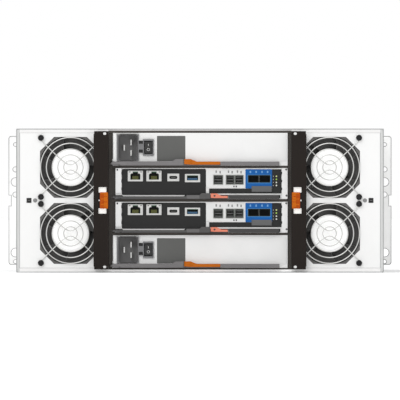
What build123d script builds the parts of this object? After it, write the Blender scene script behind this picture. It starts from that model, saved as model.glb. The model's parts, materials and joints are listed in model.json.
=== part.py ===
from build123d import *
from math import cos, radians, sin
import os

# Four-unit drawer disk shelf enclosure.
#
# A sheet-metal chassis for a 19 inch rack. Five drive drawers run out of the front (+Y).
# Two fan canisters, two power canisters and two controller canisters plug in from the rear (-Y).
# Left is -X and right is +X. The origin is at the middle of the footprint, +Z is up.
# All sizes are millimetres.

# ---------------------------------------------------------------- enclosure
overall_depth = 971.6       # release tabs at the rear to drawer levers at the front
canister_half = 106.0       # half a power canister's width
fan_width = 107.1           # a fan canister's width
power_height = 39.6
controller_height = 37.6
ear_flange = 18.8           # rack ear beyond the chassis side
rear_reach = 12.0           # handles and tabs stand this far behind the chassis
front_reach = 24.6          # drawer fronts and levers stand this far before it
wall_sheet = 1.5
cover_sheet = 1.2
side_return = 4.2           # folded edge seen round the rear opening
bay_floor_return = 3.6
fan_floor_return = 5.2
cover_return = 4.7
cover_lip = 10.0            # flange that carries the cover
cover_seam = 0.6
running_gap = 0.3           # canister to bay, on each side
bay_partition = 4.3

rear_y = -overall_depth / 2 + rear_reach
front_y = overall_depth / 2 - front_reach
bay_half = canister_half + running_gap
frame_half = bay_half + bay_partition
fan_inner_x = frame_half + running_gap
fan_outer_x = fan_inner_x + fan_width
chassis_half = fan_outer_x + running_gap + side_return
rack_width = 2 * (chassis_half + ear_flange)

# ---------------------------------------------------------------- rack ears
ear_sheet = 1.8
ear_height = 162.5
ear_base = 5.8
ear_leg = 70.0
ear_corner = 3.0
ear_notch_depth = 3.1
ear_notch_height = 13.7
ear_hole_edge = 8.75        # hole centres to the ear's outer edge
rack_centre_z = 88.1        # middle of the four rack units
rack_hole_offsets = (38.1, 6.35)
rack_hole_radius = 2.8
guide_hole_offsets = (22.225, -66.675)
guide_hole_radius = 5.0
trim_hole_edges = (10.8, 4.2)   # from the ear's upper and lower edge
trim_hole_radius = 2.0

ear_hole_span = rack_width - 2 * ear_hole_edge
ear_top = ear_base + ear_height
ear_holes = (
    [(rack_hole_radius, rack_centre_z + offset) for offset in rack_hole_offsets]
    + [(guide_hole_radius, rack_centre_z + offset) for offset in guide_hole_offsets]
    + [(trim_hole_radius, ear_top - trim_hole_edges[0])]
    + [(trim_hole_radius, ear_base + trim_hole_edges[1])]
)

# ---------------------------------------------------------------- canister bays
bay_setback = 1.2           # bay frame's rear edge, behind the canister faces
fan_plate_setback = 2.0     # the same plates where they pass under the chassis returns
canister_depth = 330.0
plug_room = 15.0            # between the canisters and the bay's front end
bay_sheet = 1.2
base_plate = 1.5
top_plate = 1.6
base_plate_z = 3.6
top_rib = 2.1               # ribs between the bay's top plate and the cover
outer_shelf = 2.3           # between a power and a controller canister
middle_shelf = 2.6
packer_width = 3.8          # fills the bay at the left of the controllers
canister_sheet = 1.0

controller_left = packer_width - canister_half
frame_rear_y = rear_y + bay_setback
frame_front_y = frame_rear_y + canister_depth + plug_room
base_top = base_plate_z + base_plate
power_lower_z = base_top + running_gap
shelf_1_z = power_lower_z + power_height + running_gap
controller_lower_z = shelf_1_z + outer_shelf + running_gap
shelf_2_z = controller_lower_z + controller_height + running_gap
controller_upper_z = shelf_2_z + middle_shelf + running_gap
shelf_3_z = controller_upper_z + controller_height + running_gap
power_upper_z = shelf_3_z + outer_shelf + running_gap
bay_top_z = power_upper_z + power_height + running_gap
side_top = bay_top_z + top_plate + top_rib
chassis_height = side_top + cover_sheet

# ---------------------------------------------------------------- midplane
midplane_thickness = 2.4
midplane_gap = 0.5
midplane_inset = 8.5        # from the chassis side
drawer_plug_x = 70.0
drawer_plug_half = 22.0
drawer_plug_depth = 9.0
midplane_half = chassis_half - midplane_inset
midplane_y = frame_front_y + midplane_gap

# ---------------------------------------------------------------- fan canisters
fan_depth = 210.0
fan_sheet = 1.0
fan_clearance = 0.9         # fan frame to the canister's floor and top
fan_spacing = 0.4           # between the two fan frames
fan_offset = 6.1            # fan frame to the canister's inner side
fan_length = 38.0
fan_rim = 1.6               # fan frame round its bore
fan_hole_edge = 4.05
fan_window_margin = 2.95    # frame edge to the eight-sided window in the face
fan_window_cut = 17.0
hub_radius = 22.5
hub_depth = 4.0             # hub face below the canister face
hub_length = 28.0
blade_count = 7
hub_sides = 21
blade_pitch = 38.0
blade_chord = 24.5
blade_lean = 2.2            # sideways, from root to tip
blade_root = 2.0            # thickness
blade_tip = 1.2             # thickness
blade_bury = 2.5            # root inside the hub
blade_clearance = 3.2       # tip to bore, at mid chord
shaft_radius = 2.0
shaft_clearance = 0.06
wire = 1.3
first_ring = 8.2
ring_pitch = 7.0
ring_sides = (8, 12, 14, 16, 20)    # one ring for each entry
guard_head_radius = 3.6
guard_tip = 2.4             # bent support wires pass this far from the fan's axis

fan_base_z = base_top + running_gap
fan_top_z = bay_top_z - running_gap
fan_middle_z = (fan_base_z + fan_top_z) / 2
fan_room = fan_top_z - fan_base_z - 2 * (fan_sheet + fan_clearance)
fan_size = (fan_room - fan_spacing) / 2     # frame, square
fan_pitch = fan_size + fan_spacing
fan_centre_x = fan_inner_x + fan_offset + fan_size / 2
fan_bore_radius = fan_size / 2 - fan_rim
fan_hole_offset = fan_size / 2 - fan_hole_edge
fan_window = fan_size - 2 * fan_window_margin

# ---------------------------------------------------------------- fan handles
handle_width = 17.9
handle_below = 1.8          # handle beyond the canister's floor and top
handle_above = 2.1
handle_sheet = 1.2
handle_step = 0.7           # the handle narrows at both ends
step_height = 3.2
handle_face_y = rear_y - 10.5
handle_flange = 5.0
hinge_inset = 1.7           # hinge axis from the handle's outer edge
hinge_y = rear_y - 7.0
hinge_radius = 1.1
hinge_clearance = 0.08
hinge_lug_inset = 3.0       # from each end of the canister
hinge_lug = 1.5
hinge_lug_radius = 1.8
window_width = 9.5
window_height = 32.0
window_inset = 2.4          # from the handle's free edge
tab_width = 9.6
tab_height = 19.8
tab_inset = 0.6
tab_travel = 2.6
keeper_width = 12.0         # block on the canister that the release tab catches on
keeper_height = 36.0
keeper_depth = 7.2
keeper_inset = 1.6
keeper_foot = 7.0
keeper_sheet = 2.8
handle_inner_x = fan_inner_x
handle_outer_x = handle_inner_x + handle_width
handle_base_z = fan_base_z - handle_below
handle_top_z = fan_top_z + handle_above

# ---------------------------------------------------------------- power canisters
foot_sheet = 1.0            # foot that carries the lever's pivot
inlet_inset = 5.3           # from the canister's left side
inlet_width = 26.6
inlet_rise = (5.6, power_height - 0.2)      # above the canister's base
inlet_depth = 24.0
trim_proud = 2.2
mouth_margin_x = (2.6, 1.9)
mouth_margin_z = (1.3, 1.8)
pin_places = ((9.0, 16.1), (17.3, 22.5), (17.3, 9.7))   # from the inlet's lower left corner
pin_width = 1.8
pin_height = 7.0
pin_length = 16.0
bridge_width = 5.0
bridge_rise = (15.5, 30.2)
bridge_slot = 3.7
switch_width = 13.1
switch_rise = (12.1, 32.0)
face_margin = 1.2           # trim over the edge of its opening
mould_gap = 0.15            # moulding in its opening
rocker_width = 10.1
rocker_height = 15.2
rocker_radius = 8.4
rocker_angle = 11.0
rocker_pin_radius = 1.0
rocker_pin_clearance = 0.08
rocker_clearance = 0.35

inlet_x = (inlet_inset - canister_half, inlet_inset - canister_half + inlet_width)
inlet_mouth_x = (inlet_x[0] + mouth_margin_x[0], inlet_x[1] - mouth_margin_x[1])
inlet_mouth_rise = (inlet_rise[0] + mouth_margin_z[0], inlet_rise[1] - mouth_margin_z[1])
bridge_x = (inlet_x[1], inlet_x[1] + bridge_width)
switch_x = (bridge_x[1], bridge_x[1] + switch_width)

# ---------------------------------------------------------------- cam levers
lever_reach = 7.0           # outer side of the lever, behind the canister's face
power_standoff = 1.0        # inner side of the lever, behind the canister's face
controller_standoff = 2.0
lever_lift = 0.3            # above the foot, and above the canister's base
power_pivot_x = 3.2 - canister_half
controller_pivot_x = controller_left + 0.9
pivot_y = rear_y - 4.2
pivot_radius = 1.5
pivot_clearance = 0.1
cam_reach = 5.4
power_lever_end = -19.9
power_latch_x = (-19.1, 24.5)
power_latch_pin_x = -10.5
controller_lever_end = 12.2
controller_latch_x = (13.0, 33.5)
controller_latch_pin_x = 17.6
latch_pin_radius = 1.1
latch_pin_rise = 4.0        # above the canister's base
tongue_sheet = 1.6
catch_gap = 0.8
catch_end = canister_half - 10.0

# ---------------------------------------------------------------- controller canisters
face_sheet = 1.5
face_x = (controller_left, canister_half)
face_base = 5.0             # above the canister's base
face_bracket = 6.8
bracket_proud = 1.6
board_sheet = 1.6
board_drop = 21.8           # canister's top to the board's underside
board_inset = 7.0
jack_wall = 0.8
jack_depth = 16.0
jack_proud = 0.8
jack_gap = 0.2

sink_rear = 120.0           # heat sink and memory sockets behind the canister's face
sink_front = 180.0
socket_rear = 110.0
socket_end = 90.0           # sockets to the canister's front end
board_rise = controller_height - board_drop
board_top = board_rise + board_sheet
board_half = canister_half - board_inset

# name: (low x, high x, low and high above the board, mouth margin x, mouth margin z)
jack_faces = {
    "network_1": (-87.4, -69.1, 4.1, 16.9, 3.4, 1.9),
    "network_2": (-64.9, -46.6, 4.1, 16.9, 3.4, 1.9),
    "console": (-39.5, -25.1, 4.2, 13.4, 2.4, 2.8),
    "usb": (-18.3, 0.2, 3.0, 13.0, 2.7, 2.4),
    "host_1": (16.1, 28.0, 0.2, 11.8, 0.8, 0.8),
    "host_2": (31.3, 41.7, 0.2, 11.8, 0.8, 0.8),
    "host_3": (42.0, 52.8, 0.2, 11.8, 0.8, 0.8),
    "expansion_1": (58.0, 71.2, 2.5, 11.7, 0.8, 0.8),
    "expansion_2": (71.8, 85.2, 2.5, 11.7, 0.8, 0.8),
}

# ---------------------------------------------------------------- drive drawers
drawer_count = 5
drawer_base_z = 2.2
drawer_headroom = 1.8       # top drawer's room under the cover's level
drawer_spacing = 0.8
front_inset = 3.5           # from the chassis side
front_gap = 1.0
front_thickness = 14.0
front_skin = 2.0
tray_sheet = 1.2
tray_floor = 1.0            # above the drawer front's lower edge
tray_drop = 4.2             # tray's rim below the drawer front's upper edge
cable_room = 61.9           # tray's rear end to the midplane's plugs
rail_width = 9.2
rail_half = 7.0
rail_sheet = 1.4
rail_clearance = 0.4
rib_half = 2.0
drive_width = 101.6
drive_length = 147.0
drive_height = 26.1
drive_pitch_x = 104.2
drive_pitch_y = 166.0
first_drive_gap = 9.0
slot_count = 5
slot_width = 11.0
slot_height = 21.0
slot_pitch = 18.0
slot_margin = 16.0          # outer slot's middle to the drawer front's end
slot_to_pocket = 15.0
pocket_half_z = 8.0
pocket_depth = 7.0
lever_half_z = 7.4
pivot_to_pocket = 6.0
drawer_pivot_out = 12.0     # ahead of the chassis
drawer_pin_radius = 1.9
drawer_pin_clearance = 0.08
drawer_lever_tip = 12.0
drawer_lever_half = 3.6

drawer_pitch = (chassis_height - drawer_base_z - drawer_headroom) / drawer_count
front_height = drawer_pitch - drawer_spacing
front_half = chassis_half - front_inset
rail_inner_x = chassis_half - wall_sheet - rail_width
tray_half = rail_inner_x - rail_clearance
tray_height = front_height - tray_drop
tray_rear_y = midplane_y + midplane_thickness + drawer_plug_depth + cable_room
tray_front_y = front_y + front_gap
drive_columns = int(2 * tray_half // drive_pitch_x)
drive_rows = int((tray_front_y - tray_rear_y - first_drive_gap) // drive_pitch_y)
first_slot_x = front_half - slot_margin - (slot_count - 1) * slot_pitch
pocket_half_x = first_slot_x - slot_to_pocket
drawer_pivot_x = pocket_half_x - pivot_to_pocket
drawer_pivot_y = front_y + drawer_pivot_out


def drawer_z(number):
    """Lower edge of a drawer front. Drawer 1 is the top one."""
    return drawer_base_z + (drawer_count - number) * drawer_pitch


# ---------------------------------------------------------------- shape helpers
def block(x, y, z):
    """A box between three (low, high) pairs."""
    centre = [(low + high) / 2 for low, high in (x, y, z)]
    size = [high - low for low, high in (x, y, z)]
    return Pos(*centre) * Box(*size)


def outline(points):
    return make_face(Polyline(*points, close=True))


def along_x(points, low, high):
    """A prism on a (y, z) outline."""
    return extrude(Plane.YZ.offset(low) * outline(points), high - low)


def along_y(points, low, high):
    """A prism on an (x, z) outline."""
    return extrude(Plane.XZ.offset(-high) * outline(points), high - low)


def along_z(points, low, high):
    """A prism on an (x, y) outline."""
    return extrude(Plane.XY.offset(low) * outline(points), high - low)


def rod_y(x, z, radius, low, high):
    return Pos(x, (low + high) / 2, z) * Rot(90, 0, 0) * Cylinder(radius, high - low)


def rod_z(x, y, radius, low, high):
    return Pos(x, y, (low + high) / 2) * Cylinder(radius, high - low)


def mirrored(shape):
    """The right-hand copy of a left-hand piece."""
    return mirror(shape, Plane.YZ)


def write(shape, name):
    solids = shape if isinstance(shape, list) else [shape]
    flat = [solid for item in solids for solid in item.solids()]
    body = flat[0] if len(flat) == 1 else Compound(children=flat)
    export_step(body, f"parts/{name}.step")


# ---------------------------------------------------------------- chassis
def chassis_tray():
    """Floor pan with its turned-up rear edge, and two side panels with a top flange."""
    inner = chassis_half - wall_sheet
    floor = block((-inner, inner), (rear_y, front_y), (0, wall_sheet))
    open_x = chassis_half - side_return
    rim = [
        (open_x, wall_sheet), (open_x, fan_floor_return), (fan_inner_x, fan_floor_return),
        (fan_inner_x, bay_floor_return),
    ]
    rim += [(-x, z) for x, z in reversed(rim)]
    floor += along_y(rim, rear_y, rear_y + wall_sheet)
    lip_x = chassis_half - cover_lip
    section = [
        (chassis_half, 0), (chassis_half, side_top), (lip_x, side_top),
        (lip_x, side_top - wall_sheet), (inner, side_top - wall_sheet), (inner, 0),
    ]
    side = along_y(section, rear_y, front_y)
    side += block((open_x, chassis_half), (rear_y, rear_y + wall_sheet), (wall_sheet, side_top))
    return [floor, side, mirrored(side)]


def chassis_cover():
    seam_y = frame_front_y
    half = chassis_half
    top = (side_top, chassis_height)
    rear = block((-half, half), (rear_y, seam_y), top)
    rim_x = half - side_return - running_gap
    lip_x = half - cover_lip - running_gap
    low = chassis_height - cover_return
    lip_low = side_top - wall_sheet - running_gap
    bay_low = bay_top_z + top_plate
    rim = [
        (lip_x, side_top), (lip_x, lip_low), (rim_x, lip_low), (rim_x, low), (fan_inner_x, low),
        (fan_inner_x, bay_low),
    ]
    rim += [(-x, z) for x, z in reversed(rim)]
    rear += along_y(rim, rear_y, rear_y + cover_sheet)
    front = block((-half, half), (seam_y + cover_seam, front_y), top)
    front += block(
        (-half + cover_lip, half - cover_lip),
        (front_y - cover_sheet, front_y),
        (side_top - 0.6, side_top),
    )
    return [rear, front]


def rack_ear():
    """The left ear: a flange ahead of the rack post and a leg along the chassis side."""
    edge = rack_width / 2
    notch_low = rack_centre_z - ear_notch_height / 2 - 1.2
    plate = block((-edge, -chassis_half), (front_y - ear_sheet, front_y), (ear_base, ear_top))
    plate = fillet(plate.edges().filter_by(Axis.Y).group_by(Axis.X)[0], ear_corner)
    plate -= block(
        (-edge - 1, -edge + ear_notch_depth),
        (front_y - 5, front_y + 1),
        (notch_low, notch_low + ear_notch_height),
    )
    for radius, z in ear_holes:
        plate -= rod_y(-ear_hole_span / 2, z, radius, front_y - 5, front_y + 1)
    leg = block(
        (-chassis_half - ear_sheet, -chassis_half),
        (front_y - ear_leg, front_y),
        (ear_base, ear_top),
    )
    return plate + leg


def rack_ears():
    left = rack_ear()
    return [left, mirrored(left)]


def folded_panel(x, y, z, sheet, across):
    """Two sheets joined by a fold at the rear edge, as a partition or shelf."""
    body = block(x, y, z)
    inside = (y[0] + sheet, y[1] + 1)
    if across == "x":
        return body - block((x[0] + sheet, x[1] - sheet), inside, z)
    return body - block(x, inside, (z[0] + 0.8, z[1] - 0.8))


def bay_plate(z, rib_z):
    """Base or top plate: it reaches further back between the partitions than beside them."""
    rib = 12.0
    near, far = frame_rear_y, frame_front_y
    beside = rear_y + fan_plate_setback
    edge = frame_half + running_gap - 0.2
    points = [
        (-fan_outer_x, beside), (-edge, beside), (-edge, near), (edge, near), (edge, beside),
        (fan_outer_x, beside), (fan_outer_x, far), (-fan_outer_x, far),
    ]
    plate = along_z(points, *z)
    for x in (-fan_centre_x, -bay_half / 2, bay_half / 2, fan_centre_x):
        plate += block((x - rib / 2, x + rib / 2), (beside, far), rib_z)
    return plate


def canister_bay_frame():
    """A welded frame: base and top plates, two partitions, three shelves and side packers."""
    depth = (frame_rear_y, frame_front_y)
    pieces = [
        bay_plate((base_plate_z, base_top), (wall_sheet, base_plate_z)),
        bay_plate((bay_top_z, bay_top_z + top_plate), (bay_top_z + top_plate, side_top)),
    ]
    for side in (-1, 1):
        x = sorted((side * bay_half, side * frame_half))
        pieces.append(folded_panel(x, depth, (base_top, bay_top_z), bay_sheet, "x"))
    shelves = ((shelf_1_z, outer_shelf), (shelf_2_z, middle_shelf), (shelf_3_z, outer_shelf))
    for z, thickness in shelves:
        shelf = folded_panel((-bay_half, bay_half), depth, (z, z + thickness), bay_sheet, "z")
        pieces.append(shelf)
    packer_x = (-bay_half, controller_left - running_gap)
    packer_y = (rear_y + fan_plate_setback, frame_front_y)
    for z in (controller_lower_z, controller_upper_z):
        high = z + controller_height + running_gap
        pieces.append(block(packer_x, packer_y, (z - running_gap, high)))
    return pieces


def midplane_board():
    """Circuit board across the chassis with air windows and a plug block for each canister."""
    y = (midplane_y, midplane_y + midplane_thickness)
    low, high = wall_sheet + 1.0, side_top - wall_sheet - 1.0
    board = block((-midplane_half, midplane_half), y, (low, high))
    for x in (-fan_centre_x, fan_centre_x):
        for z in (fan_middle_z - fan_pitch / 2, fan_middle_z + fan_pitch / 2):
            board -= block((x - 34, x + 34), (y[0] - 1, y[1] + 1), (z - 32, z + 32))
    blocks = [board]
    plug_y = (y[1], y[1] + drawer_plug_depth)
    half = drawer_plug_half
    for number in range(1, drawer_count + 1):
        z = drawer_z(number) + front_height / 2
        for x in (-drawer_plug_x, drawer_plug_x):
            blocks.append(block((x - half, x + half), plug_y, (z - 5, z + 5)))
    return blocks


def drawer_rail(number):
    """Left outer rail: a C channel that opens towards the drawer."""
    middle = drawer_z(number) + front_height / 2
    outer = -chassis_half + wall_sheet
    inner = -rail_inner_x
    low, high = middle - rail_half, middle + rail_half
    mouth = rib_half + rail_clearance
    section = [
        (outer, low), (inner, low), (inner, middle - mouth), (inner - rail_sheet, middle - mouth),
        (inner - rail_sheet, low + rail_sheet), (outer + rail_sheet, low + rail_sheet),
        (outer + rail_sheet, high - rail_sheet), (inner - rail_sheet, high - rail_sheet),
        (inner - rail_sheet, middle + mouth), (inner, middle + mouth), (inner, high),
        (outer, high),
    ]
    return along_y(section, tray_rear_y - front_gap, front_y - 2)


def drawer_rails():
    left = [drawer_rail(number) for number in range(1, drawer_count + 1)]
    return left + [mirrored(rail) for rail in left]


# ---------------------------------------------------------------- fan canister, left hand
def fan_heights():
    return fan_middle_z - fan_pitch / 2, fan_middle_z + fan_pitch / 2


def fan_corners(z):
    for dx in (-fan_hole_offset, fan_hole_offset):
        for dz in (-fan_hole_offset, fan_hole_offset):
            yield -fan_centre_x + dx, z + dz


def window_outline(x, z, size, cut):
    half = size / 2
    inner = half - cut
    return [
        (x - half, z - inner), (x - inner, z - half), (x + inner, z - half), (x + half, z - inner),
        (x + half, z + inner), (x + inner, z + half), (x - inner, z + half), (x - half, z + inner),
    ]


def hinge_axis():
    return -handle_outer_x + hinge_inset, hinge_y


def tab_keeper():
    """A strap on two feet, over the corner screws, that the release tab catches on."""
    x = (-handle_inner_x - keeper_inset - keeper_width, -handle_inner_x - keeper_inset)
    half = keeper_height / 2
    front = rear_y - keeper_depth
    section = [
        (front, -half), (rear_y, -half), (rear_y, keeper_foot - half),
        (front + keeper_sheet, keeper_foot - half), (front + keeper_sheet, half - keeper_foot),
        (rear_y, half - keeper_foot), (rear_y, half), (front, half),
    ]
    return along_x([(y, fan_middle_z + z) for y, z in section], *x)


def fan_housing():
    x = (-fan_outer_x, -fan_inner_x)
    z = (fan_base_z, fan_top_z)
    shell = block(x, (rear_y, rear_y + fan_depth), z)
    shell -= block(
        (x[0] + fan_sheet, x[1] - fan_sheet),
        (rear_y + fan_sheet, rear_y + fan_depth + 1),
        (z[0] + fan_sheet, z[1] - fan_sheet),
    )
    cut = (rear_y - 1, rear_y + 2 * fan_sheet)
    for height in fan_heights():
        points = window_outline(-fan_centre_x, height, fan_window, fan_window_cut)
        shell -= along_y(points, *cut)
    axis_x, axis_y = hinge_axis()
    reach = hinge_lug_radius
    left, right = axis_x - reach, axis_x + reach
    point = reach * 0.45
    section = [
        (left, rear_y), (left, axis_y - point), (axis_x - point, axis_y - reach),
        (axis_x + point, axis_y - reach), (right, axis_y - point), (right, rear_y),
    ]
    for low in (z[0] + hinge_lug_inset, z[1] - hinge_lug_inset - hinge_lug):
        lug = along_z(section, low, low + hinge_lug)
        lug -= rod_z(axis_x, axis_y, hinge_radius + hinge_clearance, low - 1, low + hinge_lug + 1)
        shell += lug
    return shell + tab_keeper()


def facet_rod(x, z, radius, sides, low, high):
    """A many-sided rod along Y. The radius reaches the corners."""
    middle = Pos(x, (low + high) / 2, z) * Rot(90, 0, 0)
    return middle * extrude(RegularPolygon(radius, sides), (high - low) / 2, both=True)


def fan_frame(z):
    """Axial fan body: square venturi ring, crossed struts and a bearing plate."""
    x = -fan_centre_x
    front = rear_y + fan_sheet
    back = front + fan_length
    half = fan_size / 2
    body = block((x - half, x + half), (front, back), (z - half, z + half))
    body = chamfer(body.edges().filter_by(Axis.Y), 3.0)
    body -= facet_rod(x, z, fan_bore_radius, 30, front - 1, back + 1)
    strut_y = (back - 3.0, back)
    for turn in (45, 135):
        strut = Pos(x, (strut_y[0] + strut_y[1]) / 2, z) * Rot(0, turn, 0)
        body += strut * Box(2 * fan_bore_radius + 1.0, strut_y[1] - strut_y[0], 4.0)
    body += facet_rod(x, z, hub_radius - 1.0, 16, *strut_y)
    return body - rod_y(x, z, shaft_radius + shaft_clearance, strut_y[0] - 1, back + 1)


def fan_frames():
    return [fan_frame(z) for z in fan_heights()]


def fan_rotor(z):
    """Bevelled hub, pitched tapering blades and the shaft that turns in the bearing plate."""
    x = -fan_centre_x
    face = rear_y + hub_depth
    back = face + hub_length
    bevel = 1.6
    hub = facet_rod(x, z, hub_radius, hub_sides, face + bevel, back)
    disc = Pos(x, face + bevel, z) * Rot(90, 0, 0)
    hub += disc * extrude(RegularPolygon(hub_radius, hub_sides), bevel, taper=45)
    shaft = rod_y(x, z, shaft_radius, back - 0.2, rear_y + fan_sheet + fan_length - 0.5)
    middle = (face + back) / 2
    root, tip = hub_radius - blade_bury, fan_bore_radius - blade_clearance
    section = [
        (-blade_root / 2, root), (blade_root / 2, root), (blade_tip / 2 - blade_lean, tip),
        (-blade_tip / 2 - blade_lean, tip),
    ]
    turn = radians(blade_pitch)
    across = Plane((x, middle, z), (-cos(turn), -sin(turn), 0), (-sin(turn), cos(turn), 0))
    blade = extrude(across * outline(section), blade_chord / 2, both=True)
    axis = Axis((x, middle, z), (0, 1, 0))
    blades = [blade.rotate(axis, 360 * n / blade_count) for n in range(blade_count)]
    return hub + shaft + blades


def guard_ring(x, z, radius, sides):
    y = (rear_y - 0.4 - 2 * wire, rear_y - 0.4 - wire)
    outer = facet_rod(x, z, radius + wire / 2, sides, *y)
    return outer - facet_rod(x, z, radius - wire / 2, sides, y[0] - 1, y[1] + 1)


def guard_support(x, z, way):
    """A wire bent to a blunt V, from one corner past the axis to the next corner."""
    reach = fan_hole_offset
    tip = guard_tip
    corners = (
        (-reach, way * reach), (-6.5, way * (tip + 3.6)), (-2.5, way * tip), (2.5, way * tip),
        (6.5, way * (tip + 3.6)), (reach, way * reach),
    )
    strip = trace(Polyline(*corners), wire)
    middle = Pos(x, rear_y - 0.4 - wire / 2, z) * Rot(90, 0, 0)
    return middle * extrude(strip, wire / 2, both=True)


def guard_screw(x, z):
    return facet_rod(x, z, guard_head_radius, 6, rear_y - 3.8, rear_y - 0.4 - wire)


def fan_guards():
    """Wire guards: rings welded on bent supports, screwed to the canister at the corners."""
    pieces = []
    for z in fan_heights():
        x = -fan_centre_x
        pieces += [guard_support(x, z, 1), guard_support(x, z, -1)]
        for number, sides in enumerate(ring_sides):
            pieces.append(guard_ring(x, z, first_ring + number * ring_pitch, sides))
        pieces += [guard_screw(px, pz) for px, pz in fan_corners(z)]
    return pieces


def fan_handle():
    """Pull handle: a channel hinged at its outer edge, with end flanges and a finger window."""
    x = (-handle_outer_x, -handle_inner_x)
    z = (handle_base_z, handle_top_z)
    back = handle_face_y + handle_flange
    step = handle_step
    section = [
        (x[0] + step, z[0]), (x[1], z[0]), (x[1], z[1]), (x[0] + step, z[1]),
        (x[0] + step, z[1] - step_height), (x[0], z[1] - step_height - step),
        (x[0], z[0] + step_height + step), (x[0] + step, z[0] + step_height),
    ]
    bar = along_y(section, handle_face_y, back)
    bar -= block(
        (x[0] + handle_sheet + handle_step, x[1] + 1),
        (handle_face_y + handle_sheet, back + 1),
        (z[0] + handle_sheet, z[1] - handle_sheet),
    )
    window_x = (x[1] - window_inset - window_width, x[1] - window_inset)
    window_z = (fan_middle_z - window_height / 2, fan_middle_z + window_height / 2)
    bar -= block(window_x, (handle_face_y - 1, handle_face_y + 2 * handle_sheet), window_z)
    axis_x, axis_y = hinge_axis()
    housing_z = (fan_base_z, fan_top_z)
    for side in (0, 1):
        inward = 1 if side == 0 else -1
        lug_edge = housing_z[side] + inward * (hinge_lug_inset + hinge_lug)
        slot_z = sorted((lug_edge + inward * 0.3, lug_edge - inward * (hinge_lug + 0.3)))
        slot_x = (x[0] - 1, axis_x + hinge_lug_radius + 0.4)
        bar -= block(slot_x, (handle_face_y + handle_sheet, back + 1), slot_z)
        knuckle = sorted((lug_edge + inward * 0.3, lug_edge + inward * 6.3))
        pin = sorted((lug_edge - inward * (hinge_lug + 0.6), lug_edge + inward * 0.4))
        knuckle_x = (x[0] + 0.8, axis_x + hinge_radius)
        bar += block(knuckle_x, (handle_face_y + 0.4, axis_y + hinge_radius), knuckle)
        bar += rod_z(axis_x, axis_y, hinge_radius, *pin)
    return bar


def release_tab():
    """Finger tab on the handle: a ribbed cap outside, a stem through the window, a hook plate."""
    right = -handle_inner_x - tab_inset
    left = right - tab_width
    z = (fan_middle_z - tab_height / 2, fan_middle_z + tab_height / 2)
    cap_y = (rear_y - rear_reach, handle_face_y - 0.2)
    cap = block((left, right), cap_y, z)
    cap = chamfer(cap.edges().filter_by(Axis.Z).group_by(Axis.Y)[0], 0.6)
    window_low = -handle_inner_x - window_inset - window_width
    stem_x = (window_low + tab_travel + 0.6, window_low + window_width - 0.3)
    plate_y = (handle_face_y + handle_sheet + 0.2, handle_face_y + handle_sheet + 1.4)
    stem_z = (z[0] + 2.0, z[1] - 2.0)
    stem = block(stem_x, (cap_y[1] - 0.5, plate_y[0] + 0.5), stem_z)
    plate = block((stem_x[0] - 0.4, -handle_inner_x + 0.2), plate_y, (z[0] + 1.0, z[1] - 1.0))
    return cap + stem + plate


# ---------------------------------------------------------------- power canister
def canister_shell(x, base, height):
    y = (rear_y, rear_y + canister_depth)
    sheet = canister_sheet
    shell = block(x, y, (base, base + height))
    inside_z = (base + sheet, base + height - sheet)
    return shell - block((x[0] + sheet, x[1] - sheet), (y[0] + sheet, y[1] + 1), inside_z)


def add_pivot(shell, base, pivot_x, swing_top):
    """Foot and pin for the cam lever, and the room its cam sweeps in the canister's corner."""
    room_x = (pivot_x - 4.0, pivot_x + cam_reach)
    room_z = (base + foot_sheet, base + swing_top + 0.4)
    shell -= block(room_x, (rear_y - 4, rear_y + 4.0), room_z)
    foot_x = (pivot_x - 2.0, pivot_x + 4.4)
    shell += block(foot_x, (rear_y - lever_reach, rear_y), (base, base + foot_sheet))
    pin_z = (base + foot_sheet - 0.2, base + swing_top - 0.2)
    return shell + rod_z(pivot_x, pivot_y, pivot_radius, *pin_z)


def catch_rail(base, start, height):
    """The fixed rail that the lever's latch closes against."""
    rail = block((start, catch_end), (rear_y - lever_reach, rear_y), (base, base + height))
    return chamfer(rail.edges().filter_by(Axis.X).group_by(Axis.Y)[0].group_by(Axis.Z)[-1], 1.0)


def power_housing(base):
    shell = canister_shell((-canister_half, canister_half), base, power_height)
    cut = (rear_y - 1, rear_y + 2 * canister_sheet)
    margin = face_margin
    for x, rise in ((inlet_x, inlet_rise), (switch_x, switch_rise)):
        z = (base + rise[0] + margin, base + rise[1] - margin)
        shell -= block((x[0] + margin, x[1] - margin), cut, z)
    shell += catch_rail(base, power_latch_x[1] + catch_gap, 4.8)
    return add_pivot(shell, base, power_pivot_x, 5.0)


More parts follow.
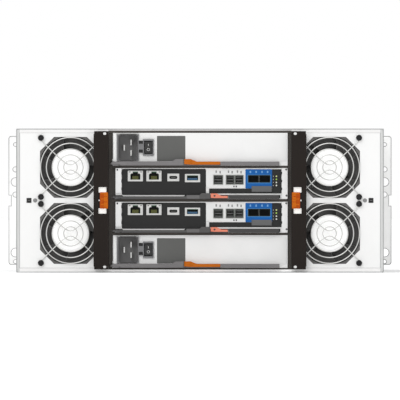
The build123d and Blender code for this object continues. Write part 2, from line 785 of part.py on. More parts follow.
def power_inlet(base):
    """One moulding: high-current appliance inlet with three blades, bridge and switch bezel."""
    front = rear_y - trim_proud
    margin = face_margin + mould_gap
    z = (base + inlet_rise[0], base + inlet_rise[1])
    mouth_z = (base + inlet_mouth_rise[0], base + inlet_mouth_rise[1])
    trim = block(inlet_x, (front, rear_y), z)
    trim = chamfer(trim.edges().filter_by(Axis.Y), 1.0)
    body = block(
        (inlet_x[0] + margin, inlet_x[1] - margin),
        (rear_y, rear_y + inlet_depth + 2.0),
        (z[0] + margin, z[1] - margin),
    )
    inlet = trim + body
    mouth = block(inlet_mouth_x, (front - 1, rear_y + inlet_depth - 3.0), mouth_z)
    mouth = chamfer(mouth.edges().filter_by(Axis.Y), 2.2)
    inlet -= mouth
    floor_y = rear_y + inlet_depth - 3.0
    blades = []
    for dx, dz in pin_places:
        px, pz = inlet_x[0] + dx, z[0] + dz
        blade = block(
            (px - pin_width / 2, px + pin_width / 2),
            (floor_y - pin_length, floor_y),
            (pz - pin_height / 2, pz + pin_height / 2),
        )
        blades.append(blade)
    bridge_z = (base + bridge_rise[0], base + bridge_rise[1])
    bridge = block(bridge_x, (front, rear_y), bridge_z)
    for low in (bridge_z[0], bridge_z[1] - bridge_slot):
        bridge -= block(bridge_x, (front - 1, front + 1.4), (low, low + bridge_slot))
    switch_z = (base + switch_rise[0], base + switch_rise[1])
    bezel = block(switch_x, (front, rear_y), switch_z)
    bezel += block(
        (switch_x[0] + margin, switch_x[1] - margin),
        (rear_y, rear_y + 14.0),
        (switch_z[0] + margin, switch_z[1] - margin),
    )
    middle_x, middle_z = rocker_centre(base)
    gap = rocker_clearance
    half_x, half_z = rocker_width / 2 + gap, rocker_height / 2 + gap
    bezel -= block(
        (middle_x - half_x, middle_x + half_x),
        (front - 1, rear_y + 12.0),
        (middle_z - half_z, middle_z + half_z),
    )
    axle = Pos(middle_x, rocker_axis_y(), middle_z) * Rot(0, 90, 0)
    bezel += axle * Cylinder(rocker_pin_radius, 2 * half_x + 0.4)
    return [inlet, bridge, bezel, *blades]


def rocker_centre(base):
    return sum(switch_x) / 2, base + sum(switch_rise) / 2


def rocker_axis_y():
    return rear_y - trim_proud + 5.0


def power_rocker(base):
    """Rocker: two flats that meet at a ridge, on a drum that turns about X."""
    x, z = rocker_centre(base)
    axis_y = rocker_axis_y()
    half_x = rocker_width / 2 - 0.5
    reach = rocker_height / 2 - 0.4
    face = -6.0
    tilt = radians(rocker_angle)
    tips = []
    for way in (-1, 1):
        y, up = face * cos(tilt), way * reach
        tips.append((axis_y + y + 1.4, z + up))
    crest = (axis_y + face - 0.4, z)
    profile = [tips[0], crest, tips[1], (axis_y + 3.0, z + 3.4), (axis_y + 3.0, z - 3.4)]
    rocker = along_x(profile, x - half_x, x + half_x)
    rocker &= Pos(x, axis_y, z) * Rot(0, 90, 0) * Cylinder(rocker_radius - 0.8, 2 * half_x)
    bore_radius = rocker_pin_radius + rocker_pin_clearance
    bore = Pos(x, axis_y, z) * Rot(0, 90, 0) * Cylinder(bore_radius, 2 * half_x + 2)
    return rocker - bore


def lever_bar(base, profile, standoff, pins_x, tongue_end):
    """A lever cut from its rear-view profile, with pivot bore, tongue and latch pin."""
    pivot_x, latch_pin_x = pins_x
    outer = rear_y - lever_reach
    inner = rear_y - standoff
    bar = along_y(profile, outer, inner)
    bar = chamfer(bar.edges().filter_by(Axis.Z).group_by(Axis.X)[0], 1.8)
    bar -= rod_z(pivot_x, pivot_y, pivot_radius + pivot_clearance, base - 1, base + 12)
    tongue_x = (tongue_end[0] - 1.0, tongue_end[1])
    tongue_z = (base + lever_lift, base + latch_pin_rise + 1.0)
    tongue = block(tongue_x, (inner - tongue_sheet, inner), tongue_z)
    pin_z = base + latch_pin_rise
    pin = rod_y(latch_pin_x, pin_z, latch_pin_radius, outer + 0.6, inner - 1.0)
    return bar + tongue + pin


def power_lever(base):
    low = base + lever_lift
    raised = low + foot_sheet
    left = power_pivot_x - cam_reach
    step = power_pivot_x + cam_reach + 0.5
    end = power_lever_end
    profile = [
        (left, raised), (step, raised), (step, low), (end, low), (end, base + 7.9),
        (end - 9.8, base + 7.9), (end - 13.8, base + 5.2), (left + 3.0, base + 5.0),
        (left, base + 3.2),
    ]
    pins_x = (power_pivot_x, power_latch_pin_x)
    return lever_bar(base, profile, power_standoff, pins_x, (end, -3.0))


def latch_piece(base, profile, standoff, pin_x):
    outer = rear_y - lever_reach
    inner = rear_y - standoff - tongue_sheet - running_gap
    piece = along_y(profile, outer, inner)
    bore = latch_pin_radius + pivot_clearance
    return piece - rod_y(pin_x, base + latch_pin_rise, bore, outer - 1, inner + 1)


def power_latch(base):
    left, right = power_latch_x
    low = base + 1.2
    profile = [
        (left, base + 1.9), (power_latch_pin_x, low), (right, low), (right, base + 4.9),
        (left + 15.4, base + 4.9), (left + 7.8, base + 7.9), (left, base + 7.9),
    ]
    return latch_piece(base, profile, power_standoff, power_latch_pin_x)


# ---------------------------------------------------------------- controller canister
def controller_housing(base):
    sheet = canister_sheet
    shell = canister_shell((controller_left, canister_half), base, controller_height)
    shell -= block(
        (controller_left + sheet, canister_half - sheet),
        (rear_y - 1, rear_y + 2 * sheet),
        (base + sheet, base + controller_height - sheet),
    )
    shell += catch_rail(base, controller_latch_x[1] + catch_gap, 4.6)
    return add_pivot(shell, base, controller_pivot_x, 3.2)


def controller_faceplate(base):
    """Face with a mouth for each jack, an end bracket at each side and a lower flange."""
    y = (rear_y - face_sheet, rear_y)
    left, right = face_x
    low, high = base + face_base, base + controller_height - 0.2
    foot = catch_end + 1.2
    notch = left + 8.0
    points = [
        (left, low), (notch, low), (notch + 1.2, low - 1.6), (-19.6, low - 1.6), (-17.8, low),
        (foot, low), (foot, base + 0.4), (right, base + 0.4), (right, high), (left, high),
    ]
    plate = along_y(points, *y)
    end_y = (y[0] - bracket_proud, y[0] + 0.2)
    for x, end_low in ((left, base + 7.4), (right - face_bracket, base + 0.4)):
        end = block((x, x + face_bracket), end_y, (end_low, high))
        plate += chamfer(end.edges().filter_by(Axis.Y), 0.8)
    floor = base + board_top
    for x0, x1, z0, z1, _, _ in jack_faces.values():
        mouth_x = (x0 - jack_gap, x1 + jack_gap)
        mouth_z = (floor + z0 - jack_gap, floor + z1 + jack_gap)
        plate -= block(mouth_x, (y[0] - 1, y[1] + 1), mouth_z)
    return plate


def jack(base, face):
    """A metal shell with an open mouth, on a foot that stands on the circuit board."""
    x0, x1, z0, z1, margin_x, margin_z = face
    front = rear_y - face_sheet - jack_proud
    back = front + jack_depth
    floor = base + board_top
    shell = block((x0, x1), (front, back), (floor + z0, floor + z1))
    shell -= block(
        (x0 + margin_x, x1 - margin_x),
        (front - 1, back - jack_wall),
        (floor + z0 + margin_z, floor + z1 - margin_z),
    )
    foot = block((x0, x1), (rear_y + 3.0, back), (floor, floor + z0 + 0.1))
    return shell + foot


def controller_board(base):
    """Circuit board with its jacks, heat sink, memory sockets and rear plug."""
    y = (rear_y + 3.0, rear_y + canister_depth - 6.0)
    low = base + board_rise
    top = base + board_top
    board = block((-board_half, board_half), y, (low, top))
    for x in (-board_half + 6, board_half - 6):
        for post_y in (y[0] + 8, y[1] - 8):
            post_z = (base + canister_sheet, low + 0.1)
            board += block((x - 2.5, x + 2.5), (post_y - 2.5, post_y + 2.5), post_z)
    fins = [(-30, top), (30, top), (30, top + 15.0)]
    for n in range(5):
        fin = 28.0 - 14.0 * n
        fins += [(fin, top + 15.0), (fin, top + 3.0), (fin - 12.0, top + 3.0)]
        fins += [(fin - 12.0, top + 15.0)]
    fins = fins[:-4] + [(-28.0, top + 15.0), (-30, top + 15.0)]
    sink = along_y(fins, rear_y + sink_rear, rear_y + sink_front)
    socket_y = (rear_y + socket_rear, rear_y + canister_depth - socket_end)
    sockets = [
        block((-92 + 11 * n, -88 + 11 * n), socket_y, (top, top + 9.0)) for n in range(3)
    ]
    plug = block((-45, 45), (y[1] - 14, y[1] + 4), (top, top + 12.0))
    jacks = [jack(base, face) for face in jack_faces.values()]
    return [board, sink, *sockets, plug, *jacks]


def controller_lever(base):
    low = base + lever_lift
    raised = low + foot_sheet
    left = controller_pivot_x - cam_reach
    step = controller_pivot_x + cam_reach + 0.5
    end = controller_lever_end
    profile = [
        (left, raised), (step, raised), (step, low), (end, low), (end, base + 7.2),
        (end - 10.4, base + 7.2), (end - 12.6, base + 5.0), (end - 28.2, base + 5.0),
        (end - 29.8, base + 3.2), (left, base + 3.2),
    ]
    tongue = (end, controller_latch_pin_x + 5.0)
    pins_x = (controller_pivot_x, controller_latch_pin_x)
    return lever_bar(base, profile, controller_standoff, pins_x, tongue)


def controller_latch(base):
    left, right = controller_latch_x
    low = base + 1.2
    profile = [
        (left, base + 1.6), (controller_latch_pin_x, low), (right, low), (right, base + 3.9),
        (left + 13.0, base + 3.9), (left + 7.4, base + 6.8), (left, base + 6.8),
    ]
    return latch_piece(base, profile, controller_standoff, controller_latch_pin_x)


# ---------------------------------------------------------------- drive drawers
def drawer_front(number):
    """Moulded front: hollow behind, air slots at both sides, a lever pocket in the middle."""
    base = drawer_z(number)
    y0 = front_y + front_gap
    y1 = y0 + front_thickness
    z = (base, base + front_height)
    front = block((-front_half, front_half), (y0, y1), z)
    front = chamfer(front.edges().filter_by(Axis.X).group_by(Axis.Y)[-1], 1.2)
    skin = front_skin
    front -= block(
        (-front_half + skin, front_half - skin), (y0 - 1, y1 - skin), (z[0] + skin, z[1] - skin)
    )
    middle = base + front_height / 2
    floor_y = y1 - pocket_depth
    px, pz = pocket_half_x, pocket_half_z
    liner_z = (middle - pz - 4, middle + pz + 4)
    front += block((-px - skin, px + skin), (floor_y - skin, y1 - 0.5), liner_z)
    front -= block((-px, px), (floor_y, y1 + 1), (middle - pz, middle + pz))
    for side in (-1, 1):
        for n in range(slot_count):
            x = side * (first_slot_x + n * slot_pitch)
            front -= block(
                (x - slot_width / 2, x + slot_width / 2),
                (y1 - 2 * skin, y1 + 1),
                (middle - slot_height / 2, middle + slot_height / 2),
            )
        pin_z = (middle - pz - 0.2, middle + pz + 0.2)
        front += rod_z(side * drawer_pivot_x, drawer_pivot_y, drawer_pin_radius, *pin_z)
    return front


def drawer_tray(number):
    """Tray with a lipped rim, slide ribs and a connector wall behind each row of drives."""
    base = drawer_z(number) + tray_floor
    y = (tray_rear_y, tray_front_y)
    top = base + tray_height - tray_floor
    tray = block((-tray_half, tray_half), y, (base, top))
    tray -= block(
        (-tray_half + tray_sheet, tray_half - tray_sheet),
        (y[0] + tray_sheet, y[1] - tray_sheet),
        (base + tray_sheet, top + 1),
    )
    middle = drawer_z(number) + front_height / 2
    for side in (-1, 1):
        rib = sorted((side * (tray_half - 0.2), side * (tray_half + 4.6)))
        tray += block(rib, (y[0], y[1] - 12), (middle - rib_half, middle + rib_half))
    for row in range(drive_rows):
        back = front_y - first_drive_gap - row * drive_pitch_y - drive_length - 1.0
        tray += block(
            (-tray_half + 0.5, tray_half - 0.5), (back - 6.0, back), (base + 0.5, base + 20.0)
        )
    return tray


def drawer_drives(number):
    """Twelve flat-lying drives in three rows, each bevelled towards the drawer's front."""
    base = drawer_z(number) + tray_floor + tray_sheet
    width, length, height = drive_width, drive_length, drive_height
    profile = [(0, 0), (length, 0), (length, height - 8.0), (length - 6.0, height), (0, height)]
    drives = []
    for row in range(drive_rows):
        y = front_y - first_drive_gap - row * drive_pitch_y - length
        for column in range(drive_columns):
            x = (column - (drive_columns - 1) / 2) * drive_pitch_x
            placed = [(y + a, base + b) for a, b in profile]
            drives.append(along_x(placed, x - width / 2, x + width / 2))
    return drives


def drawer_lever(number):
    """Left lever: pinned in the pocket near the drawer's quarter, its grip near the middle."""
    middle = drawer_z(number) + front_height / 2
    axis_y = drawer_pivot_y
    x0, tip = -drawer_pivot_x, -drawer_lever_tip
    half = drawer_lever_half
    grip_y = front_y + front_reach
    points = [
        (x0, axis_y - half), (tip, axis_y - half), (tip, grip_y - 1.5), (tip - 1.5, grip_y),
        (tip - 20.0, grip_y), (tip - 34.0, axis_y + half), (x0, axis_y + half),
        (x0 - half * 0.8, axis_y + half * 0.5), (x0 - half * 0.8, axis_y - half * 0.5),
    ]
    lever = along_z(points, middle - lever_half_z, middle + lever_half_z)
    bore_radius = drawer_pin_radius + drawer_pin_clearance
    return lever - rod_z(x0, axis_y, bore_radius, middle - 10, middle + 10)


# ---------------------------------------------------------------- the assembly
def fixed_nodes():
    yield "chassis_tray", chassis_tray()
    yield "chassis_cover", chassis_cover()
    yield "rack_ears", rack_ears()
    yield "canister_bay_frame", canister_bay_frame()
    yield "midplane_board", midplane_board()
    yield "drawer_rails", drawer_rails()


def fan_nodes():
    lower_z, upper_z = fan_heights()
    left = {
        "housing": fan_housing(),
        "frames": fan_frames(),
        "guards": fan_guards(),
        "handle": fan_handle(),
        "release_tab": release_tab(),
        "rotor_upper": fan_rotor(upper_z),
        "rotor_lower": fan_rotor(lower_z),
    }
    for name, shape in left.items():
        yield f"fan_left_{name}", shape
        pieces = shape if isinstance(shape, list) else [shape]
        yield f"fan_right_{name}", [mirrored(piece) for piece in pieces]


def canister_nodes():
    makers = {
        "power": {
            "housing": power_housing, "inlet": power_inlet, "rocker": power_rocker,
            "lever": power_lever, "latch": power_latch,
        },
        "controller": {
            "housing": controller_housing, "faceplate": controller_faceplate,
            "board": controller_board, "lever": controller_lever, "latch": controller_latch,
        },
    }
    bases = {
        "power": {"upper": power_upper_z, "lower": power_lower_z},
        "controller": {"upper": controller_upper_z, "lower": controller_lower_z},
    }
    for kind, pieces in makers.items():
        for place, base in bases[kind].items():
            for name, make in pieces.items():
                yield f"{kind}_{place}_{name}", make(base)


def drawer_nodes():
    for number in range(1, drawer_count + 1):
        lever = drawer_lever(number)
        yield f"drawer_{number}_tray", [drawer_tray(number), drawer_front(number)]
        yield f"drawer_{number}_drives", drawer_drives(number)
        yield f"drawer_{number}_lever_left", lever
        yield f"drawer_{number}_lever_right", mirrored(lever)


if __name__ == "__main__":
    os.makedirs("parts", exist_ok=True)
    for group in (fixed_nodes, fan_nodes, canister_nodes, drawer_nodes):
        for node, shape in group():
            write(shape, node)
            print(node)
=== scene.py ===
import json
from math import cos, pi, radians, sin
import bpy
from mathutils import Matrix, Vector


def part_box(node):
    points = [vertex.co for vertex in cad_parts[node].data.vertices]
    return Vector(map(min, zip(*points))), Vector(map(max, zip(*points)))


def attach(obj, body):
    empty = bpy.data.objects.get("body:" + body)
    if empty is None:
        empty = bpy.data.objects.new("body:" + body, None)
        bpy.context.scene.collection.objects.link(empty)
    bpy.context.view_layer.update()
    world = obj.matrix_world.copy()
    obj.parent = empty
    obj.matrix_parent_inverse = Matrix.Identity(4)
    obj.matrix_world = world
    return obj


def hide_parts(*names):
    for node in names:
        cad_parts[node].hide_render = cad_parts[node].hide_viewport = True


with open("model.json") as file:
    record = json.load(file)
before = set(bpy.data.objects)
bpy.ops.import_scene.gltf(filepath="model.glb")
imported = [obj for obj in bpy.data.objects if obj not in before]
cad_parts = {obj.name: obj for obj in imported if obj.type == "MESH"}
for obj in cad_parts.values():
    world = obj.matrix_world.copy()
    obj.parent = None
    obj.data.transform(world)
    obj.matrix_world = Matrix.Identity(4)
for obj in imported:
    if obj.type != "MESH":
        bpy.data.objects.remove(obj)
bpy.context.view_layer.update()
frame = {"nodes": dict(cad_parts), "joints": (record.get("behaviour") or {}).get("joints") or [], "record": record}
from types import SimpleNamespace
import bmesh
import bpy
from mathutils import Matrix, Vector

nodes = frame["nodes"]
print("frame loaded:", len(nodes), "nodes")


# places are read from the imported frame, in millimetres
def span(node):
    low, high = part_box(node)
    return [v * 1000 for v in low], [v * 1000 for v in high]


jointAt = {j["name"]: [v * 1000 for v in j["pos_m"]] for j in frame["joints"] if "pos_m" in j}
rearY = span("chassis_tray")[0][1]
canisters = ["power_upper", "controller_upper", "controller_lower", "power_lower"]
baseZ = {name: span(name + "_housing")[0][2] for name in canisters}
sides = ("left", "right")  # every piece is drawn on the left, and the right-hand one mirrors it
sink = 0.05  # how far a form that is laid on a solid reaches into it
mm = 0.001  # a millimetre in metres, which Blender and the frame use
samePlace, weld = 1e-4, 1e-3  # how near two places count as one, and how near points are joined

# the finishes: each names what differs from finishBase
finishes = {}
finishBase = dict(
    rough=0.5, swing=0.06, metal=0.0, shine=0.5, coat=0.0, coatRough=0.2, fade=0.93, patch=30, patchDetail=4,
    patchEdges=(0.35, 0.65), stretch=(1, 1, 1), grain=1500, grainDetail=3, bump=0.15, bumpDepth=0.0002,
)


def makeFinish(name, look):
    look = {**finishBase, **look}
    mat = bpy.data.materials.new(name)
    mat.use_nodes = True
    tree = mat.node_tree
    shader = tree.nodes["Principled BSDF"]

    def addNode(kind, values, links):
        made = tree.nodes.new("ShaderNode" + kind)
        if kind == "Mix":
            made.data_type = "RGBA"
        for socket, value in values.items():
            made.inputs[socket].default_value = value
        for socket, source in links.items():
            tree.links.new(source, made.inputs[socket])
        return made

    coords = addNode("TexCoord", {}, {})
    place = addNode("Mapping", {"Scale": look["stretch"]}, {"Vector": coords.outputs["Object"]})
    # the colour drifts slowly over the surface
    patch = addNode("TexNoise", {"Scale": look["patch"], "Detail": look["patchDetail"]},
                    {"Vector": place.outputs["Vector"]})
    spread = addNode("MapRange", {"From Min": look["patchEdges"][0], "From Max": look["patchEdges"][1]},
                     {"Value": patch.outputs["Fac"]})
    other = look.get("other", [c * look["fade"] for c in look["color"]])
    tint = addNode("Mix", {"A": (*look["color"], 1), "B": (*other, 1)}, {"Factor": spread.outputs["Result"]})
    color = tint.outputs["Result"]
    if "bodyColor" in look:  # painted at the rear, and bare sheet metal ahead of bodyStart
        axes = addNode("SeparateXYZ", {}, {"Vector": coords.outputs["Object"]})
        ahead = addNode("Math", {1: (rearY + look["bodyStart"]) * mm}, {0: axes.outputs["Y"]})
        ahead.operation = "GREATER_THAN"
        parting = addNode("Mix", {"B": (*look["bodyColor"], 1)}, {"Factor": ahead.outputs["Value"], "A": color})
        color = parting.outputs["Result"]
    # the grain is powder coat, moulding texture or brush lines
    grain = addNode("TexNoise", {"Scale": look["grain"], "Detail": look["grainDetail"]},
                    {"Vector": place.outputs["Vector"]})
    gloss = addNode("MapRange", {"To Min": look["rough"] - look["swing"], "To Max": look["rough"] + look["swing"]},
                    {"Value": grain.outputs["Fac"]})
    bump = addNode("Bump", {"Strength": look["bump"], "Distance": look["bumpDepth"]},
                   {"Height": grain.outputs["Fac"]})
    tree.links.new(color, shader.inputs["Base Color"])
    tree.links.new(gloss.outputs["Result"], shader.inputs["Roughness"])
    tree.links.new(bump.outputs["Normal"], shader.inputs["Normal"])

    shader.inputs["Metallic"].default_value = look["metal"]
    shader.inputs["Specular IOR Level"].default_value = look["shine"]
    shader.inputs["Coat Weight"].default_value = look["coat"]
    shader.inputs["Coat Roughness"].default_value = look["coatRough"]
    if "glow" in look:
        shader.inputs["Emission Color"].default_value = (*look["color"], 1)
        shader.inputs["Emission Strength"].default_value = look["glow"]
    finishes[name] = mat


paints = dict(
    chassisZinc=dict(color=(0.55, 0.56, 0.565), other=(0.515, 0.525, 0.53), rough=0.42, metal=0.55, patch=90,
                     grain=900),
    facePaint=dict(color=(0.80, 0.80, 0.795), other=(0.785, 0.785, 0.78), patch=14, shine=0.4,
                   bodyColor=(0.50, 0.51, 0.515), bodyStart=0.8),
    earPaint=dict(color=(0.90, 0.90, 0.895), patch=12, shine=0.4),
    # the side bands glow a little: painted light that lifts their shade near the floor and under the handles
    bandGlowPaint=dict(color=(0.70, 0.695, 0.69), patch=20, shine=0.3, glow=0.15),
    topBandPaint=dict(color=(0.56, 0.55, 0.55), patch=20, shine=0.3),
    # a lighter copy of the band paint that also glows: painted light against the levers' shadow on the bay's low band
    lowBandLitGlowPaint=dict(color=(0.93, 0.925, 0.92), patch=20, shine=0.3, glow=0.15),
    lowEdge=dict(color=(0.62, 0.63, 0.63), rough=0.45, metal=0.2, grain=900),
    stripPaint=dict(color=(0.58, 0.585, 0.58), patch=20, shine=0.4),
    cutEdge=dict(color=(0.33, 0.335, 0.335), rough=0.45, metal=0.2, grain=900),
    panelPaint=dict(color=(0.76, 0.76, 0.755), rough=0.48, patch=18, shine=0.4),
    # a lighter copy of the panel paint: painted light on the panel's left margin, against the shade from the fan
    # handle
    marginLitPaint=dict(color=(0.96, 0.96, 0.95), rough=0.48, patch=18, shine=0.4),
    charcoalPaint=dict(color=(0.057, 0.051, 0.045), rough=0.55, patch=25, grain=1400, shine=0.25),
    # a lighter copy of the charcoal: painted light on the shelf edges, against the shade of their gaps
    shelfCharcoalLit=dict(color=(0.078, 0.069, 0.061), rough=0.55, patch=25, grain=1400, shine=0.25),
    handlePaint=dict(color=(0.013, 0.009, 0.007), rough=0.55, patch=25, grain=1400, shine=0.15),
    portBlack=dict(color=(0.015, 0.015, 0.015), rough=0.55, patch=40, grain=1800, shine=0.25),
    fanPlastic=dict(color=(0.115, 0.112, 0.109), rough=0.55, patch=60, grain=1100, shine=0.3),
    bladePlastic=dict(color=(0.130, 0.128, 0.125), patch=60, grain=1100, shine=0.4),
    # the hub label glows a little: painted light that brightens it
    hubLabelGlow=dict(color=(0.90, 0.90, 0.895), other=(0.87, 0.87, 0.865), rough=0.6, grain=2200, bump=0.05, glow=0.22),
    guardWire=dict(color=(0.60, 0.60, 0.585), rough=0.35, metal=0.45, patch=90, grain=2500, bump=0.05),
    blackScrew=dict(color=(0.010, 0.010, 0.011), rough=0.4, grain=1600, shine=0.3),
    steelScrew=dict(color=(0.36, 0.365, 0.37), rough=0.3, metal=0.8, grain=1600),
    orangePlastic=dict(color=(0.43, 0.072, 0.001), other=(0.40, 0.064, 0.001), grain=1300, shine=0.12),
    # a lighter copy of the orange: the lit part of the tab, painted light
    orangeLit=dict(color=(0.53, 0.128, 0.003), other=(0.51, 0.118, 0.003), grain=1300, shine=0.12),
    latchOrange=dict(color=(0.46, 0.118, 0.006), other=(0.43, 0.105, 0.005), grain=1300, shine=0.12),
    salmonPlastic=dict(color=(0.66, 0.20, 0.125), other=(0.62, 0.185, 0.115), grain=1300, shine=0.35),
    leverGrey=dict(color=(0.165, 0.158, 0.16), grain=1300, shine=0.35),
    leverDark=dict(color=(0.076, 0.074, 0.073), grain=1300, shine=0.3),
    railDark=dict(color=(0.046, 0.045, 0.044), grain=1300, shine=0.3),
    gripGrey=dict(color=(0.12, 0.118, 0.118), grain=1300, shine=0.3),
    inletTrim=dict(color=(0.165, 0.165, 0.17), rough=0.45, patch=60, shine=0.35),
    # a light strip along the top of the inlet trim: painted highlight
    inletTopHighlight=dict(color=(0.45, 0.45, 0.44), rough=0.45, patch=60, shine=0.35),
    inletFace=dict(color=(0.078, 0.076, 0.076), patch=60, shine=0.3),
    # lighter than the trim: painted light against the shade deep in the inlet
    inletFloorLit=dict(color=(0.34, 0.335, 0.335), patch=60, shine=0.2),
    rockerBlack=dict(color=(0.009, 0.009, 0.009), rough=0.3, grain=1800, shine=0.4, coat=0.2),
    printWhite=dict(color=(0.70, 0.70, 0.69), rough=0.6, grain=2200, bump=0.03),
    labelDark=dict(color=(0.105, 0.106, 0.102), rough=0.6, grain=2000, bump=0.05, shine=0.3),
    bladeMetal=dict(color=(0.62, 0.62, 0.60), rough=0.34, metal=0.6, stretch=(1, 8, 1), grain=700),
    portMetal=dict(color=(0.56, 0.56, 0.55), rough=0.38, metal=0.35, stretch=(1, 1, 6), grain=700),
    cageMetal=dict(color=(0.22, 0.23, 0.215), rough=0.4, metal=0.5, stretch=(5, 1, 1), grain=700),
    cageDark=dict(color=(0.038, 0.040, 0.036), rough=0.6, patch=80, grain=900, shine=0.2),
    contactGold=dict(color=(0.17, 0.18, 0.065), rough=0.35, metal=0.6, stretch=(6, 1, 1), grain=900),
    usbBlue=dict(color=(0.016, 0.080, 0.165), rough=0.4, patch=60),
    modulePaint=dict(color=(0.004, 0.10, 0.35), other=(0.004, 0.09, 0.32), patch=40, shine=0.2),
    moduleRim=dict(color=(0.05, 0.22, 0.48), rough=0.45, shine=0.3),
    moduleGrey=dict(color=(0.094, 0.096, 0.098), patch=40),
    moduleMark=dict(color=(0.14, 0.33, 0.60), rough=0.4),
    lampGrey=dict(color=(0.20, 0.20, 0.20), rough=0.25, coat=0.4),
    lampGreen=dict(color=(0.30, 0.50, 0.06), rough=0.3, glow=0.1),
    lampAmber=dict(color=(0.50, 0.54, 0.24), rough=0.3, glow=0.1),
    lampWhite=dict(color=(0.62, 0.63, 0.58), rough=0.3, glow=0.05),
    # glows: painted light that keeps the white behind the handle window bright in its shade
    windowWhiteGlow=dict(color=(0.87, 0.86, 0.83), rough=0.6, grain=2200, bump=0.03, glow=0.42),
    # a lighter grey: painted light in the deep wells of the host cages, and the grey of the console's tongue
    tongueGreyAndLitWell=dict(color=(0.14, 0.144, 0.134), rough=0.55, patch=80, grain=900, shine=0.25),
    cageBlack=dict(color=(0.022, 0.023, 0.022), rough=0.6, patch=80, grain=900, shine=0.2),
    panelShade=dict(color=(0.68, 0.685, 0.68), patch=18, shine=0.35),
    boardGreen=dict(color=(0.02, 0.085, 0.04), rough=0.4, patch=150, grain=1800, coat=0.3),
    railSteel=dict(color=(0.42, 0.43, 0.43), rough=0.35, metal=0.8, stretch=(1, 0.05, 1)),
    traySteel=dict(color=(0.50, 0.51, 0.51), rough=0.38, metal=0.6, stretch=(1, 0.1, 1), grain=1200),
    driveMetal=dict(color=(0.47, 0.48, 0.49), rough=0.4, metal=0.7, patch=40, grain=1600),
    driveSticker=dict(color=(0.72, 0.73, 0.72), rough=0.6, grain=1800, bump=0.05),
    frontPlastic=dict(color=(0.030, 0.031, 0.033), grain=1200, shine=0.35),
    pocketBlack=dict(color=(0.016, 0.016, 0.017), rough=0.6, patch=40, shine=0.2),
    meshSteel=dict(color=(0.17, 0.172, 0.176), rough=0.4, metal=0.5, patch=60),
    frontLever=dict(color=(0.13, 0.133, 0.138), rough=0.42, grain=1200, shine=0.4),
)
for finishName, finishLook in paints.items():
    makeFinish(finishName, finishLook)

wears = {
    "chassis_tray": "chassisZinc", "chassis_cover": "chassisZinc", "rack_ears": "earPaint",
    "canister_bay_frame": "charcoalPaint", "midplane_board": "boardGreen", "drawer_rails": "railSteel",
    "drives": "driveMetal", "lever_left": "frontLever", "lever_right": "frontLever", "tray": "traySteel",
    "frames": "fanPlastic", "handle": "handlePaint", "housing": "facePaint", "faceplate": "panelPaint",
    "inlet": "inletTrim", "board": "boardGreen", "latch": "latchOrange", "lever": "leverGrey",
}
controllerWears = {"latch": "salmonPlastic", "lever": "leverDark"}


def dressNodes():
    for name, node in nodes.items():
        ending = next((k for k in wears if name == k or name.endswith("_" + k)), None)
        look = wears.get(name) or wears.get(ending, "fanPlastic")
        if name.startswith("controller"):
            look = controllerWears.get(ending, look)
        for materialSlot in node.material_slots:
            materialSlot.material = finishes[look]


dressNodes()
print("finishes made:", len(finishes))


# shape tools, all in millimetres
def about(middle, half):
    return middle - half, middle + half


def lift(base, rise):
    return base + rise[0], base + rise[1]


def newShape():
    return bmesh.new()


def paint(part, look):
    # look is the place of a finish in the list that finishPiece gets
    for face in part.faces:
        face.material_index = look
    return part


def addShape(bm, part, place=None):
    # part joins bm, moved by place
    if place is not None:
        part.transform(place)
    mesh = bpy.data.meshes.new("joining")
    part.to_mesh(mesh)
    part.free()
    bm.from_mesh(mesh)
    bpy.data.meshes.remove(mesh)


def softenEdges(part, edges, bevel, segments):
    bmesh.ops.bevel(
        part, geom=edges, offset=bevel, offset_type="OFFSET", segments=segments, profile=0.5,
        affect="EDGES", material=-1, clamp_overlap=True,
    )


def boxShape(x, y, z, bevel=0.0, segments=2):
    part = newShape()
    size = [high - low for low, high in (x, y, z)]
    centre = [(low + high) / 2 for low, high in (x, y, z)]
    bmesh.ops.create_cube(part, size=1, matrix=Matrix.Translation(centre) @ Matrix.Diagonal((*size, 1)))
    if bevel:
        softenEdges(part, part.edges[:], bevel, segments)
    return part


def addBox(bm, x, y, z, bevel=0.0, segments=2, look=0, place=None):
    addShape(bm, paint(boxShape(x, y, z, bevel, segments), look), place)


turnToY = Matrix.Rotation(pi / 2, 4, "X")  # local z goes to -Y, local y to +Z


def rodShape(x, y, z, radius, segments=24, bevel=0.0):
    # a round rod along Y, with the edge of its y[0] end rounded
    part = newShape()
    bmesh.ops.create_cone(
        part, cap_ends=True, cap_tris=False, segments=segments, radius1=radius, radius2=radius,
        depth=y[1] - y[0], matrix=Matrix.Translation((x, (y[0] + y[1]) / 2, z)) @ turnToY,
    )
    if bevel:
        rim = [e for e in part.edges if all(abs(v.co.y - y[0]) < samePlace for v in e.verts)]
        softenEdges(part, rim, bevel, segments=3)
    return part


def ringShape(x, y, z, radius, wire, steps=56, around=8):
    # a round wire bent to a ring about Y
    part = newShape()
    bmesh.ops.create_circle(
        part, segments=around, radius=wire / 2, matrix=Matrix.Translation((x + radius, y, z)),
    )
    bmesh.ops.spin(
        part, geom=part.verts[:] + part.edges[:], cent=(x, y, z), axis=(0, 1, 0), angle=2 * pi,
        steps=steps, use_merge=True, use_duplicate=False, dvec=(0, 0, 0),
    )
    bmesh.ops.remove_doubles(part, verts=part.verts[:], dist=samePlace)
    bmesh.ops.recalc_face_normals(part, faces=part.faces[:])
    return part


